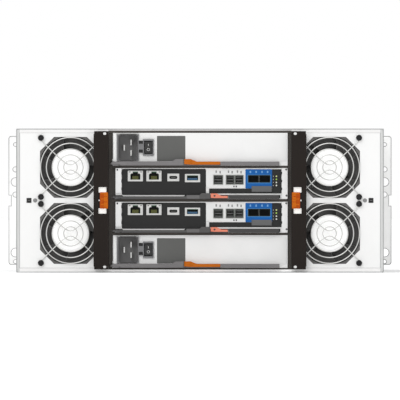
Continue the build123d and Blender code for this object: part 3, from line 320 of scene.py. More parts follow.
def curveShape(points, radius=0.0, fill=False, thick=0.0, lip=0.0):
    # a round wire along the points, or with fill a flat plate: its first loop is the edge, the rest are holes
    curve = bpy.data.curves.new("outline", "CURVE")
    curve.dimensions = "2D" if fill else "3D"
    if fill:
        curve.fill_mode = "BOTH"
        curve.extrude = thick / 2 - lip
        curve.bevel_depth = lip
        curve.offset = -lip
        curve.bevel_resolution = 1
    else:
        curve.bevel_depth = radius
        curve.bevel_resolution = 2
        curve.use_fill_caps = True
    for loop in points if fill else [points]:
        spline = curve.splines.new("POLY")
        spline.points.add(len(loop) - 1)
        for point, at in zip(spline.points, loop):
            point.co = (*at, 1) if len(at) == 3 else (*at, 0, 1)
        spline.use_cyclic_u = fill
    holder = bpy.data.objects.new("outline", curve)
    mesh = bpy.data.meshes.new_from_object(holder)
    part = newShape()
    part.from_mesh(mesh)
    bpy.data.objects.remove(holder)
    bpy.data.curves.remove(curve)
    bpy.data.meshes.remove(mesh)
    bmesh.ops.remove_doubles(part, verts=part.verts[:], dist=weld)
    bmesh.ops.recalc_face_normals(part, faces=part.faces[:])
    return part


def addPlate(bm, loops, y, lip=0.0, look=0):
    # a plate on (x, z) outlines between y[0] and y[1]; every loop after the first is a hole
    part = curveShape(loops, fill=True, thick=y[1] - y[0], lip=lip)
    part.transform(Matrix.Translation((0, (y[0] + y[1]) / 2, 0)) @ turnToY)
    addShape(bm, paint(part, look))


def roundedLoop(x, z, radius=0.0, steps=4, grow=0.0):
    (x0, x1), (z0, z1) = (x[0] - grow, x[1] + grow), (z[0] - grow, z[1] + grow)
    if radius <= 0:
        return [(x0, z0), (x1, z0), (x1, z1), (x0, z1)]
    corners = [(x1 - radius, z1 - radius, 0), (x0 + radius, z1 - radius, 90),
               (x0 + radius, z0 + radius, 180), (x1 - radius, z0 + radius, 270)]
    turns = [(cx, cz, radians(start + 90 * n / steps)) for cx, cz, start in corners for n in range(steps + 1)]
    return [(cx + radius * cos(turn), cz + radius * sin(turn)) for cx, cz, turn in turns]


def circleLoop(x, z, radius, steps=24):
    turns = [2 * pi * n / steps for n in range(steps)]
    return [(x + radius * cos(turn), z + radius * sin(turn)) for turn in turns]


def sinkEnd(part, y, rim, depth):
    # the flat end of part at y gets a rim, and what lies inside the rim moves along Y by depth
    ends = [f for f in part.faces if abs(f.normal.y) > 0.99 and abs(f.calc_center_median().y - y) < 0.01]
    bmesh.ops.inset_individual(part, faces=ends, thickness=rim, depth=0)
    bmesh.ops.translate(part, verts=list({v for f in ends for v in f.verts}), vec=(0, depth, 0))


headShape = SimpleNamespace(
    segments=28, crown=0.7, edge=0.35, hexRim=0.3, hexDepth=0.45, crossWide=0.24, crossDepth=0.25, crossProud=0.02,
)


def screwShape(x, y, z, radius, height, recess):
    # a pan head whose top faces -Y at y - height, with a hex or cross recess
    h = headShape
    part = rodShape(x, (y - height, y), z, radius, h.segments, min(height * h.crown, radius * h.edge))
    if recess == "hex":
        sinkEnd(part, y - height, radius * h.hexRim, height * h.hexDepth)
    elif recess == "cross":
        depth = (y - height - h.crossProud, y - height + height * h.crossDepth)
        for wide, tall in ((radius, radius * h.crossWide), (radius * h.crossWide, radius)):
            addBox(part, about(x, wide / 2), depth, about(z, tall / 2), look=1)
    return part


# the two turns are in degrees, and bevelShare is the ratio of the areas of two faces
shading = SimpleNamespace(smooth=35, bevelTurn=8, bevelShare=10)


def markEdges(bm):
    # small bevels are shaded round, but a broad flat face beside one stays flat
    for face in bm.faces:
        face.smooth = True
    for edge in bm.edges:
        if len(edge.link_faces) == 2:
            turn = edge.calc_face_angle(0)
            small, large = sorted(face.calc_area() for face in edge.link_faces)
            alike = turn < radians(shading.bevelTurn) or large < shading.bevelShare * small
            edge.smooth = turn < radians(shading.smooth) and alike


def finishPiece(name, body, bm, looks, side="left", replaces=()):
    # closes a piece: mirrors it for the right-hand side, scales it to metres, dresses it and lets it ride
    if side == "right":
        bmesh.ops.scale(bm, vec=(-1, 1, 1), verts=bm.verts[:])
        bmesh.ops.reverse_faces(bm, faces=bm.faces[:])
    markEdges(bm)
    bmesh.ops.scale(bm, vec=(mm, mm, mm), verts=bm.verts[:])
    mesh = bpy.data.meshes.new(name)
    bm.to_mesh(mesh)
    bm.free()
    for look in looks:
        mesh.materials.append(finishes[look])
    piece = bpy.data.objects.new(name, mesh)
    bpy.context.scene.collection.objects.link(piece)
    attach(piece, body)
    if replaces:
        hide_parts(*replaces)


# camera, light and floor
stageSetup = SimpleNamespace(
    lens=1700, sensor=36, half=242.1, aimX=0.0, aimZ=87.6, clip=(0.1, 200), skyPower=1.0, sunPower=0.75, sunAngle=35,
    suns={"softSun": (1.0, (52, -6, -18)), "backFill": (0.6, (-48, 10, 25))}, floorSize=120, floorDrop=0.0002,
)
floorLook = {"color": (0.94, 0.94, 0.94), "other": (0.935, 0.935, 0.935), "rough": 0.9, "patch": 3, "grain": 200,
             "bump": 0.02, "shine": 0.0}


def makeStage(s):
    camera = bpy.data.objects.new("camera", bpy.data.cameras.new("camera"))
    bpy.context.scene.collection.objects.link(camera)
    camera.data.lens = s.lens
    camera.data.sensor_width = s.sensor
    away = s.half * mm * s.lens / (s.sensor / 2)
    camera.location = (s.aimX * mm, rearY * mm - away, s.aimZ * mm)
    camera.rotation_euler = (radians(90), 0, 0)
    camera.data.clip_start, camera.data.clip_end = s.clip
    bpy.context.scene.camera = camera

    world = bpy.data.worlds.new("sky")
    world.use_nodes = True
    world.node_tree.nodes["Background"].inputs["Color"].default_value = (1, 1, 1, 1)
    world.node_tree.nodes["Background"].inputs["Strength"].default_value = s.skyPower
    bpy.context.scene.world = world
    bpy.context.scene.view_settings.view_transform = "Standard"

    for name, (share, turn) in s.suns.items():
        sun = bpy.data.objects.new(name, bpy.data.lights.new(name, "SUN"))
        sun.data.energy = s.sunPower * share
        sun.data.angle = radians(s.sunAngle)
        sun.rotation_euler = [radians(v) for v in turn]
        bpy.context.scene.collection.objects.link(sun)

    mesh = bpy.data.meshes.new("floor")
    bm = newShape()
    bmesh.ops.create_grid(bm, x_segments=1, y_segments=1, size=s.floorSize / 2)
    bm.to_mesh(mesh)
    bm.free()
    makeFinish("floorPaint", floorLook)
    mesh.materials.append(finishes["floorPaint"])
    floor = bpy.data.objects.new("floor", mesh)
    floor.location.z = -s.floorDrop
    bpy.context.scene.collection.objects.link(floor)


makeStage(stageSetup)
print("stage set")


# a plan holds the sizes of one group of pieces; its functions take it as s, and the plan of the sockets as k

# the chassis: hemmed rear edge, painted bands, ear edges and fasteners
chassisTrim = SimpleNamespace(
    bead=1.0, corner=2.0, innerCorner=1.4, beadProud=0.1, low=0.05, lowInset=2, lowProud=0.15, proud=0.35, seat=0.02,
    soft=0.1, sideStrip=4.2, topBand=5.05, bottomBand=5.1, bayTop=2.5, bayBottom=3.4,
)


def makeChassisTrim(s):
    half, top = span("chassis_tray")[1][0], span("chassis_cover")[1][2]
    bayX = -span("fan_left_housing")[1][0]
    bead, soft, y = s.bead, s.soft, (rearY - s.proud, rearY + s.seat)
    bm = newShape()
    loops = [roundedLoop((-half, half), (s.low, top), s.corner),
             roundedLoop(about(0, half - bead), (bead, top - bead), s.innerCorner)]
    addPlate(bm, loops, (y[0] - s.beadProud, y[1]))
    addBox(bm, about(0, half - s.lowInset), (y[0] - s.lowProud, y[1]), (s.low, bead), look=4)
    for way in (-1, 1):
        x = sorted((way * (half - s.sideStrip), way * (half - bead)))
        addBox(bm, x, y, (bead, top - bead), soft, 1, look=1)
        x = sorted((way * (half - s.sideStrip), way * bayX))
        # the side bands, low and high, glow a little: painted light against their shade
        addBox(bm, x, y, (bead, s.bottomBand), soft, 1, look=2)
        addBox(bm, x, y, (top - s.topBand, top - bead), soft, 1, look=2)
    # the bay's low band is painted lighter and glows: painted light against the shadow of the levers above it
    addBox(bm, about(0, bayX), y, (bead, s.bayBottom), soft, 1, look=3)
    addBox(bm, about(0, bayX), y, (top - s.bayTop, top - bead), soft, 1, look=5)
    looks = ["cutEdge", "stripPaint", "bandGlowPaint", "lowBandLitGlowPaint", "lowEdge", "topBandPaint"]
    finishPiece("rearHem", "chassis", bm, looks)


makeChassisTrim(chassisTrim)

shelfPlan = SimpleNamespace(
    setback=1.2, proud=0.25, seat=0.3, gap=0.1, soft=0.15, half=106.2, topHalf=110.6, topEdge=(168.95, 171.45),
)


def makeShelfEdges(s):
    # the folded rear edges of the shelves between the canisters, and of the plate above them
    y = (rearY + s.setback - s.proud, rearY + s.setback + s.seat)
    bm = newShape()
    # the shelf edges wear a lighter copy of the charcoal: painted light against the shade in their gaps
    for lower, upper in zip(canisters[:0:-1], canisters[-2::-1]):
        z = (span(lower + "_housing")[1][2] + s.gap, baseZ[upper] - s.gap)
        addBox(bm, about(0, s.half), y, z, s.soft, 1)
    addBox(bm, about(0, s.topHalf), (rearY - s.proud, y[1]), s.topEdge, s.soft, 1, look=1)
    finishPiece("shelfEdges", "chassis", bm, ["shelfCharcoalLit", "charcoalPaint"])


makeShelfEdges(shelfPlan)

earTrim = SimpleNamespace(
    bead=0.45, inset=0.5, plate=1.8, corner=3.0, notchDepth=3.1, notch=(80.05, 93.75), pastBody=20, rim=0.9,
    rimSteps=28, rimAround=6,
)


def makeEarTrim(s):
    low, high = span("rack_ears")
    x0, x1 = low[0] + s.inset, -span("chassis_tray")[1][0]
    z0, z1 = low[2] + s.inset, high[2] - s.inset
    inner, notch = x0 + s.notchDepth, s.notch
    ends = [p for p in roundedLoop((x0, x1 + s.pastBody), (z0, z1), s.corner) if p[0] < x1]
    upper = sorted([p for p in ends if p[1] > notch[1]], key=lambda p: (-p[0], p[1]))
    lower = sorted([p for p in ends if p[1] < notch[0]], key=lambda p: (p[0], -p[1]))
    line = [(x1, z1), *upper, (x0, notch[1]), (inner, notch[1]), (inner, notch[0]), (x0, notch[0]), *lower, (x1, z0)]
    holes = []
    for mount in frame["record"]["mounts"]:
        if mount["kind"] == "bolt_pattern":
            dims, middle = mount["dims"], mount["pos_m"][2] * 1000
            for z in about(middle, dims["spacing_y_mm"] / 2):
                holes.append((-dims["spacing_x_mm"] / 2, z, dims["hole_r_mm"] + s.rim / 2))
    for side in sides:
        bm = newShape()
        for y in (high[1] - s.plate, high[1]):
            addShape(bm, curveShape([(x, y, z) for x, z in line], radius=s.bead))
            for x, z, radius in holes:
                addShape(bm, ringShape(x, y, z, radius, s.rim, s.rimSteps, s.rimAround))
        finishPiece("earEdge_" + side, "chassis", bm, ["cutEdge"], side=side)


makeEarTrim(earTrim)

fastenerPlan = SimpleNamespace(
    radius=3.0, height=0.25, sideRows=(24.0, 148.0), sideColumns=(-440, -300, -160, -20, 120, 260), flatHeight=0.05,
    flatSink=0.06, topColumns=(-200, -70, 70, 200), topRows=(-455, -150, -80, 440), crossWide=0.6, crossHeight=0.055,
)


def makeFasteners(s):
    bodyX, top = span("chassis_tray")[1][0], span("chassis_cover")[1][2]
    bm = newShape()
    for y in s.sideColumns:
        for z in s.sideRows:
            for way in (-1, 1):
                place = Matrix.Translation((way * bodyX, y, z)) @ Matrix.Rotation(way * pi / 2, 4, "Z")
                addShape(bm, screwShape(0, 0, 0, s.radius, s.height, "cross"), place)
    for x in s.topColumns:
        for y in s.topRows:
            head = screwShape(0, 0, 0, s.radius, s.flatHeight, "none")
            for wide, tall in ((s.radius, s.crossWide), (s.crossWide, s.radius)):
                addBox(head, about(0, wide / 2), (-s.crossHeight, 0), about(0, tall / 2), look=1)
            place = Matrix.Translation((x, y, top - s.flatSink)) @ Matrix.Rotation(-pi / 2, 4, "X")
            addShape(bm, head, place)
    finishPiece("coverScrews", "chassis", bm, ["steelScrew", "blackScrew"])


makeFasteners(fastenerPlan)
print("chassis trimmed")

# the fan canisters: wire guards, impellers, lamps, rivets and release tabs
guardPlan = SimpleNamespace(
    rings=(8.2, 15.2, 22.2, 29.2, 36.2), wire=1.3, ringY=2.4, strutY=1.15, reach=35.75, steps=12, bow=45,
    bowShare=0.62, apex=0.6, eye=3.0, eyeSteps=24, headY=1.4, headRadius=3.7, headHeight=2.2,
)


def makeGuards(s):
    y, reach = rearY - s.strutY, s.reach
    for side in sides:
        bm = newShape()
        for where in ("upper", "lower"):
            cx, _, cz = jointAt[f"fan_left_rotor_{where}_spin"]
            for radius in s.rings:
                addShape(bm, ringShape(cx, rearY - s.ringY, cz, radius, s.wire))
            for way in (-1, 1):  # support wires with straight legs and a soft bend near the middle
                path = []
                for n in range(-s.steps, s.steps + 1):
                    t = n / s.steps * reach
                    bend = (t * t + s.bow) ** 0.5 - s.bow ** 0.5 * s.bowShare
                    path.append((cx + t, y, cz + way * min(bend + s.apex, reach)))
                addShape(bm, curveShape(path, radius=s.wire / 2))
            for x in about(cx, reach):
                for z in about(cz, reach):
                    addShape(bm, ringShape(x, y, z, s.eye, s.wire, steps=s.eyeSteps))
                    head = screwShape(x, rearY - s.headY, z, s.headRadius, s.headHeight, "hex")
                    addShape(bm, paint(head, 1))
        finishPiece("guards_" + side, "fan_" + side, bm, ["guardWire", "blackScrew"],
                    side=side, replaces=[f"fan_{side}_guards"])


makeGuards(guardPlan)

impellerPlan = SimpleNamespace(
    hub=22.5, hubSegments=48, face=4.0, length=28.0, softEdge=2.6, labelShare=0.75, rim=2.2, floor=4.0,
    shaftRadius=2.0, shaftSegments=20, shaftStart=3.0, shaftEnd=38.4, blades=7, grid=(8, 5), rootSink=1.0, tip=37.2,
    chord=25.5, tipGrowth=0.36, rootPitch=33.0, tipPitch=17.0, sweep=14.0, camber=2.6, thick=1.3,
)


def bladeShape(s, cx, cy, cz):
    blade = newShape()
    bmesh.ops.create_grid(blade, x_segments=s.grid[0], y_segments=s.grid[1], size=0.5)
    root = s.hub - s.rootSink
    for v in blade.verts:
        along, out = v.co.x, v.co.y + 0.5  # along the chord, and from root to tip
        radius = root + (s.tip - root) * out
        pitch = radians(s.rootPitch + (s.tipPitch - s.rootPitch) * out)
        belly = s.camber * (1 - (2 * along) ** 2)
        chord = s.chord * (1 + s.tipGrowth * out)
        depth = -along * chord * sin(pitch) + belly * cos(pitch)
        wide = along * chord * cos(pitch) + belly * sin(pitch)
        turn = wide / radius + radians(s.sweep) * out
        v.co = Vector((cx + radius * sin(turn), cy + depth, cz + radius * cos(turn)))
    bmesh.ops.recalc_face_normals(blade, faces=blade.faces[:])
    bmesh.ops.solidify(blade, geom=blade.faces[:], thickness=s.thick)
    bmesh.ops.recalc_face_normals(blade, faces=blade.faces[:])
    return blade


def impellerShape(s, cx, cz):
    face, back = rearY + s.face, rearY + s.face + s.length
    middle = (face + back) / 2
    bm = newShape()
    hub = rodShape(cx, (face, back), cz, s.hub, s.hubSegments, s.softEdge)
    sinkEnd(hub, back, s.rim, s.floor - s.length)
    # the hub's face is the label, which glows: painted light
    for f in hub.faces:
        f.material_index = 1 if f.calc_center_median().y < face + s.softEdge * s.labelShare else 0
    addShape(bm, hub)
    shaftY = (face + s.shaftStart, rearY + s.shaftEnd)
    addShape(bm, paint(rodShape(cx, shaftY, cz, s.shaftRadius, s.shaftSegments), 2))
    blade = bladeShape(s, cx, middle, cz)
    bmesh.ops.spin(
        blade, geom=blade.verts[:] + blade.edges[:] + blade.faces[:], cent=(cx, middle, cz),
        axis=(0, 1, 0), angle=2 * pi, steps=s.blades, use_duplicate=True, use_merge=False, dvec=(0, 0, 0),
    )
    bmesh.ops.remove_doubles(blade, verts=blade.verts[:], dist=weld)
    addShape(bm, blade)
    return bm


def makeImpellers(s):
    for side in sides:
        for where in ("upper", "lower"):
            cx, _, cz = jointAt[f"fan_left_rotor_{where}_spin"]
            rotor = f"fan_{side}_rotor_{where}"
            finishPiece(f"impeller_{side}_{where}", rotor, impellerShape(s, cx, cz),
                        ["bladePlastic", "hubLabelGlow", "steelScrew"], side=side, replaces=[rotor])


makeImpellers(impellerPlan)

canisterMarks = SimpleNamespace(
    lampX=-199.6, lampRadius=2.5, lampSeat=0.1, lampProud=0.8, lampEdge=0.5, plateX=-207.0, plateHalf=2.95,
    plateProud=0.5, plateEdge=0.2, barHalf=(1.8, 0.4), barY=(-0.6, -0.4), barEdge=0.05, rivetX=-115.3,
    rivetHalf=(1.9, 1.5), rivetInset=3.0, rivetY=(-0.5, 0.1), rivetCorner=1.4, rivetLip=0.15,
    keeperX=(-124.4, -112.6), keeperDepth=7.2, keeperHalf=17.9, keeperProud=0.2, edgeWide=1.1, edgeInset=1.0,
    edgeProud=0.25, soft=0.08,
)


def makeCanisterMarks(s):
    low, high = span("fan_left_housing")
    middle = (low[2] + high[2]) / 2
    handleLow, handleHigh = span("fan_left_handle")
    for side in sides:
        body = "fan_" + side
        bm = newShape()
        lampY = (rearY - s.lampProud, rearY + s.lampSeat)
        addShape(bm, rodShape(s.lampX, lampY, middle, s.lampRadius, bevel=s.lampEdge))
        addBox(bm, about(s.plateX, s.plateHalf), (rearY - s.plateProud, rearY + sink),
               about(middle, s.plateHalf), s.plateEdge, look=1)
        addBox(bm, about(s.plateX, s.barHalf[0]), lift(rearY, s.barY), about(middle, s.barHalf[1]),
               s.barEdge, 1, look=2)
        finishPiece("lampAndPlate_" + side, body, bm, ["lampGrey", "portBlack", "gripGrey"], side=side)
        bm = newShape()
        x = about(s.rivetX, s.rivetHalf[0])
        for middleZ in (handleLow[2] + s.rivetInset, handleHigh[2] - s.rivetInset):
            loop = roundedLoop(x, about(middleZ, s.rivetHalf[1]), s.rivetCorner)
            addPlate(bm, [loop], lift(handleLow[1], s.rivetY), s.rivetLip)
        finishPiece("handleRivets_" + side, body + "_handle", bm, ["printWhite"], side=side)
        bm = newShape()
        # the keeper behind the handle's window glows: painted light against the shade of the recess
        depth = rearY - s.keeperDepth
        addBox(bm, s.keeperX, (depth - s.keeperProud, depth + sink), about(middle, s.keeperHalf), s.soft, 1)
        addBox(bm, (high[0] - s.edgeWide, high[0] + sink), (rearY - s.edgeProud, rearY + sink),
               (low[2] + s.edgeInset, high[2] - s.edgeInset), s.soft, 1, look=1)
        finishPiece("keeperFace_" + side, body, bm, ["windowWhiteGlow", "charcoalPaint"], side=side)


makeCanisterMarks(canisterMarks)

tabPlan = SimpleNamespace(
    capWide=9.6, capDeep=1.3, capEdge=0.35, seam=4.6, ribs=6, ribHeight=0.55, ribHalf=0.55, ribInset=1.0, ribSeat=0.2,
    ribEdge=0.25, stemX=(2.0, -2.5), stemInset=2.1, stemBack=1.0, stemEdge=0.2, hookX=1.8, hookDeep=1.2,
    hookInset=1.0, flagWide=1.9, flagSeat=2.0, flagY=(-1.2, -0.4), flagInset=0.4, flagEdge=0.1, dotX=(-1.6, -0.4),
    dotY=(-1.35, -1.1), dotHalf=0.9, dotEdge=0.05,
)


def makeTabs(s):
    low, high = span("fan_left_release_tab")
    x, z = (low[0], low[0] + s.capWide), (low[2], high[2])
    seam, capBack = x[0] + s.seam, low[1] + s.capDeep
    for side in sides:
        bm = newShape()
        # the cap's two parts are a plain and a lit copy of the orange: painted light
        for look, part in enumerate(((x[0], seam), (seam, x[1]))):
            addBox(bm, part, (low[1] + s.ribHeight, capBack), z, s.capEdge, look=look)
        # the ribs alternate between the plain and the lit orange: painted light and shade
        for n in range(s.ribs):  # grip ribs across the tab
            middle = z[0] + (n + 0.5) * (z[1] - z[0]) / s.ribs
            addBox(bm, (x[0] + s.ribInset, x[1] - s.ribInset), (low[1], low[1] + s.ribHeight + s.ribSeat),
                   about(middle, s.ribHalf), s.ribEdge, look=n % 2)
        addBox(bm, (x[0] + s.stemX[0], high[0] + s.stemX[1]), (capBack - s.ribSeat, high[1] - s.stemBack),
               (z[0] + s.stemInset, z[1] - s.stemInset), s.stemEdge)
        addBox(bm, (x[0] + s.hookX, high[0]), (high[1] - s.hookDeep, high[1]),
               (z[0] + s.hookInset, z[1] - s.hookInset), s.stemEdge)
        addBox(bm, (x[0] - s.flagWide, x[0] + s.flagSeat), lift(high[1], s.flagY),
               (z[0] + s.flagInset, z[1] - s.flagInset), s.flagEdge, 1, look=2)
        # the white dot on the tab glows too: painted light
        addBox(bm, lift(x[0], s.dotX), lift(high[1], s.dotY), about((z[0] + z[1]) / 2, s.dotHalf),
               s.dotEdge, 1, look=3)
        finishPiece("releaseTab_" + side, f"fan_{side}_release_tab", bm,
                    ["orangePlastic", "orangeLit", "pocketBlack", "windowWhiteGlow"],
                    side=side, replaces=[f"fan_{side}_release_tab"])


makeTabs(tabPlan)
print("fan canisters dressed")


# the power canisters: panel, inlet, rocker, rail cap, lever seat and latch cap
powerPlan = SimpleNamespace(
    labelX=(-52.1, -17.7), labelRise=(5.4, 36.0), labelProud=0.45, labelCorner=0.8, lip=0.1, panelX=(-104.6, 104.6),
    panelRise=(4.9, 38.1), panelProud=0.3, panelSeat=0.03, panelCorner=1.2,
    panelHoles=(((-102.1, -73.7), (4.95, 38.05)), ((-69.7, -55.2), (11.3, 32.8))), holeCorner=0.6,
    marginX=(-104.5, -100.9), marginRise=(5.0, 38.0), marginY=(-0.36, -0.2), mouthX=(-98.1, -76.0),
    mouthRise=(6.9, 37.6), mouthCorner=2.6, rimWide=0.9, rimCorner=3.2, rimY=(-0.35, 0.05), rimLip=0.12, floorY=21.0,
    floorCorner=2.4, floorInset=0.1, floorProud=0.2, pins=((-91.7, 21.7), (-83.4, 28.1), (-83.4, 15.3)),
    pin=(2.0, 7.2), pinY=(-16.1, 0.5), pinEdge=0.45, stripX=(-100.7, -74.1), stripRise=(38.0, 39.4),
    stripY=(-0.2, 0.1), slotShadeX=(-73.9, -69.4), slotShadeRise=((26.5, 30.2), (15.7, 19.5)), slotShadeY=(-0.25, 1.5),
    slotShadeEdge=0.25, stripEdge=0.1, railX=(25.3, 96.0), railReach=7.0, railHigh=4.8, seatX=(-97.2, 96.0), seatHigh=4.8,
    footX=(-104.9, -98.3), cornerFill=None, latchPin=(-10.5, 4.0), latchBack=5.5, latchRadius=1.9, latchEdge=0.3,
    edgeShadeX=(-106.0, -105.35), edgeShadeStart=8.1,
)
rockerPlan = SimpleNamespace(
    cuts=9, dip=0.4, hollow=0.9, taper=0.5, markHalf=(0.25, 1.3), markUp=2.9, markY=(-0.35, 0.3), markEdge=0.08,
    ringDown=2.6, ringLift=0.1, ringRadius=1.5, ringWire=0.45, ringSteps=28, ringAround=6,
)
railPlan = SimpleNamespace(proud=0.12, gap=0.02, back=0.4, edge=0.3)
seatPlan = SimpleNamespace(
    proud=0.35, footY=(-7.1, -0.1), footHigh=1.06, lowHigh=1.0, overlap=0.2, cornerY=(-1.4, -0.4), soft=0.1,
    edgeShadeProud=0.38, edgeShadeTop=0.02, edgeShadeBevel=0.05,
)


def makePowerFace(s, name):
    base = baseZ[name]
    bm = newShape()
    label = roundedLoop(s.labelX, lift(base, s.labelRise), s.labelCorner)
    addPlate(bm, [label], (rearY - s.labelProud, rearY + sink), s.lip)
    finishPiece(name + "_plate", name, bm, ["labelDark"])
    bm = newShape()
    loops = [roundedLoop(s.panelX, lift(base, s.panelRise), s.panelCorner)]
    loops += [roundedLoop(x, lift(base, rise), s.holeCorner) for x, rise in s.panelHoles]
    addPlate(bm, loops, (rearY - s.panelProud, rearY + s.panelSeat), s.lip)
    # the panel's left margin is painted lighter: painted light against the fan handle's shade
    margin = roundedLoop(s.marginX, lift(base, s.marginRise))
    addPlate(bm, [margin], lift(rearY, s.marginY), look=1)
    finishPiece(name + "_skin", name, bm, ["panelPaint", "marginLitPaint"])


def makeEdgeShade(s, name):
    # a dark strip on the left-hand rear edge of a canister, painted shade along that edge, above the room that the
    # lever's cam needs
    high = span(name + "_housing")[1][2]
    y, z = (rearY - seatPlan.edgeShadeProud, rearY + sink), (baseZ[name] + s.edgeShadeStart, high - seatPlan.edgeShadeTop)
    finishPiece(name + "_edgeShade", name, boxShape(s.edgeShadeX, y, z, seatPlan.edgeShadeBevel, 1), ["charcoalPaint"])


def makeRailCap(s, name, look):
    # the coloured cover of the fixed rail that the latch closes against
    base, r = baseZ[name], railPlan
    bm = boxShape((s.railX[0] + r.gap, s.railX[1] + r.proud),
                  (rearY - s.railReach - r.proud, rearY - r.back),
                  (base - r.gap, base + s.railHigh + r.proud), r.edge)
    finishPiece(name + "_railCap", name, bm, [look])


def makeLeverSeat(s, name, look):
    # the strip on the canister behind its lever, and the cover of the foot that carries the pivot
    base, p = baseZ[name], seatPlan
    bottom, soft, y = base - sink, p.soft, (rearY - p.proud, rearY + sink)
    bm = newShape()
    addBox(bm, s.seatX, y, (bottom, base + s.seatHigh), soft, 1)
    addBox(bm, s.footX, lift(rearY, p.footY), (bottom, base + p.footHigh), soft, 1)
    joint = (s.footX[1] - p.overlap, s.seatX[0] + p.overlap)
    addBox(bm, joint, y, (bottom, base + p.lowHigh), soft, 1)
    if s.cornerFill:
        x, rise = s.cornerFill
        addBox(bm, x, lift(rearY, p.cornerY), lift(base, rise), soft, 1)
    finishPiece(name + "_leverSeat", name, bm, [look])


def makeInlet(s, name):
    base = baseZ[name]
    front, floorY = span(name + "_inlet")[0][1], rearY + s.floorY
    mouth = (s.mouthX, lift(base, s.mouthRise))
    bm = newShape()
    for x, up in s.pins:
        addBox(bm, about(x, s.pin[0] / 2), lift(floorY, s.pinY), about(base + up, s.pin[1] / 2), s.pinEdge)
    # the inlet's floor is painted lighter than the trim: painted light against the shade deep in the mouth
    floor = roundedLoop(*mouth, s.floorCorner, grow=-s.floorInset)
    addPlate(bm, [floor], (floorY - s.floorProud, floorY + sink), look=1)
    finishPiece(name + "_pins", name, bm, ["bladeMetal", "inletFloorLit"])
    bm = newShape()
    loops = [roundedLoop(*mouth, s.rimCorner, grow=s.rimWide), roundedLoop(*mouth, s.mouthCorner)]
    addPlate(bm, loops, lift(front, s.rimY), s.rimLip)
    # a lighter strip along the top of the trim: painted highlight
    addBox(bm, s.stripX, lift(front, s.stripY), lift(base, s.stripRise), s.stripEdge, 1, look=1)
    # dark plates in the two slots beside the inlet: painted shade
    for rise in s.slotShadeRise:
        addBox(bm, s.slotShadeX, lift(front, s.slotShadeY), lift(base, rise), s.slotShadeEdge, look=2)
    finishPiece(name + "_trim", name, bm, ["inletFace", "inletTopHighlight", "portBlack"])


def makeRocker(s, name):
    low, high = span(name + "_rocker")
    cx, cy, cz = [(a + b) / 2 for a, b in zip(low, high)]
    half = (high[2] - low[2]) / 2

    def dip(t):  # how far the worked face lies inside the key's outline, t from -1 (low) to 1 (high)
        return s.dip + s.hollow * (1 - abs(t)) + (s.hollow * abs(t) if t < 0 else 0)

    key = boxShape(*zip(low, high))
    upright = [e for e in key.edges if abs(e.verts[0].co.z - e.verts[1].co.z) > 1]
    bmesh.ops.subdivide_edges(key, edges=upright, cuts=s.cuts, use_grid_fill=True)
    for v in key.verts:
        if v.co.y < cy:
            v.co.y = low[1] + dip((v.co.z - cz) / half)
        else:
            v.co.z = cz + (v.co.z - cz) * s.taper
    bmesh.ops.recalc_face_normals(key, faces=key.faces[:])
    bm = newShape()
    addShape(bm, key)
    wide, tall = s.markHalf
    y = low[1] + dip(s.markUp / half)
    addBox(bm, about(cx, wide), lift(y, s.markY), about(cz + s.markUp, tall), s.markEdge, 1,
           look=1)
    y = low[1] + dip(-s.ringDown / half) - s.ringLift
    ring = ringShape(cx, y, cz - s.ringDown, s.ringRadius, s.ringWire, s.ringSteps, s.ringAround)
    addShape(bm, paint(ring, 1))
    finishPiece(name + "_rockerKey", name + "_rocker", bm, ["rockerBlack", "printWhite"],
                replaces=[name + "_rocker"])


def makeLatchCap(s, name):
    # the moulded dome that hides the latch's pin
    latch, (x, rise) = name + "_latch", s.latchPin
    y = (span(latch)[0][1], rearY - s.latchBack)
    bm = rodShape(x, y, baseZ[name] + rise, s.latchRadius, bevel=s.latchEdge)
    finishPiece(latch + "Cap", latch, bm, ["latchOrange"])


for canister in ("power_upper", "power_lower"):
    makeLatchCap(powerPlan, canister)
    makeEdgeShade(powerPlan, canister)
    makePowerFace(powerPlan, canister)
    makeInlet(powerPlan, canister)
    makeRocker(rockerPlan, canister)
    makeRailCap(powerPlan, canister, "leverGrey")
    makeLeverSeat(powerPlan, canister, "leverGrey")
print("power canisters dressed")

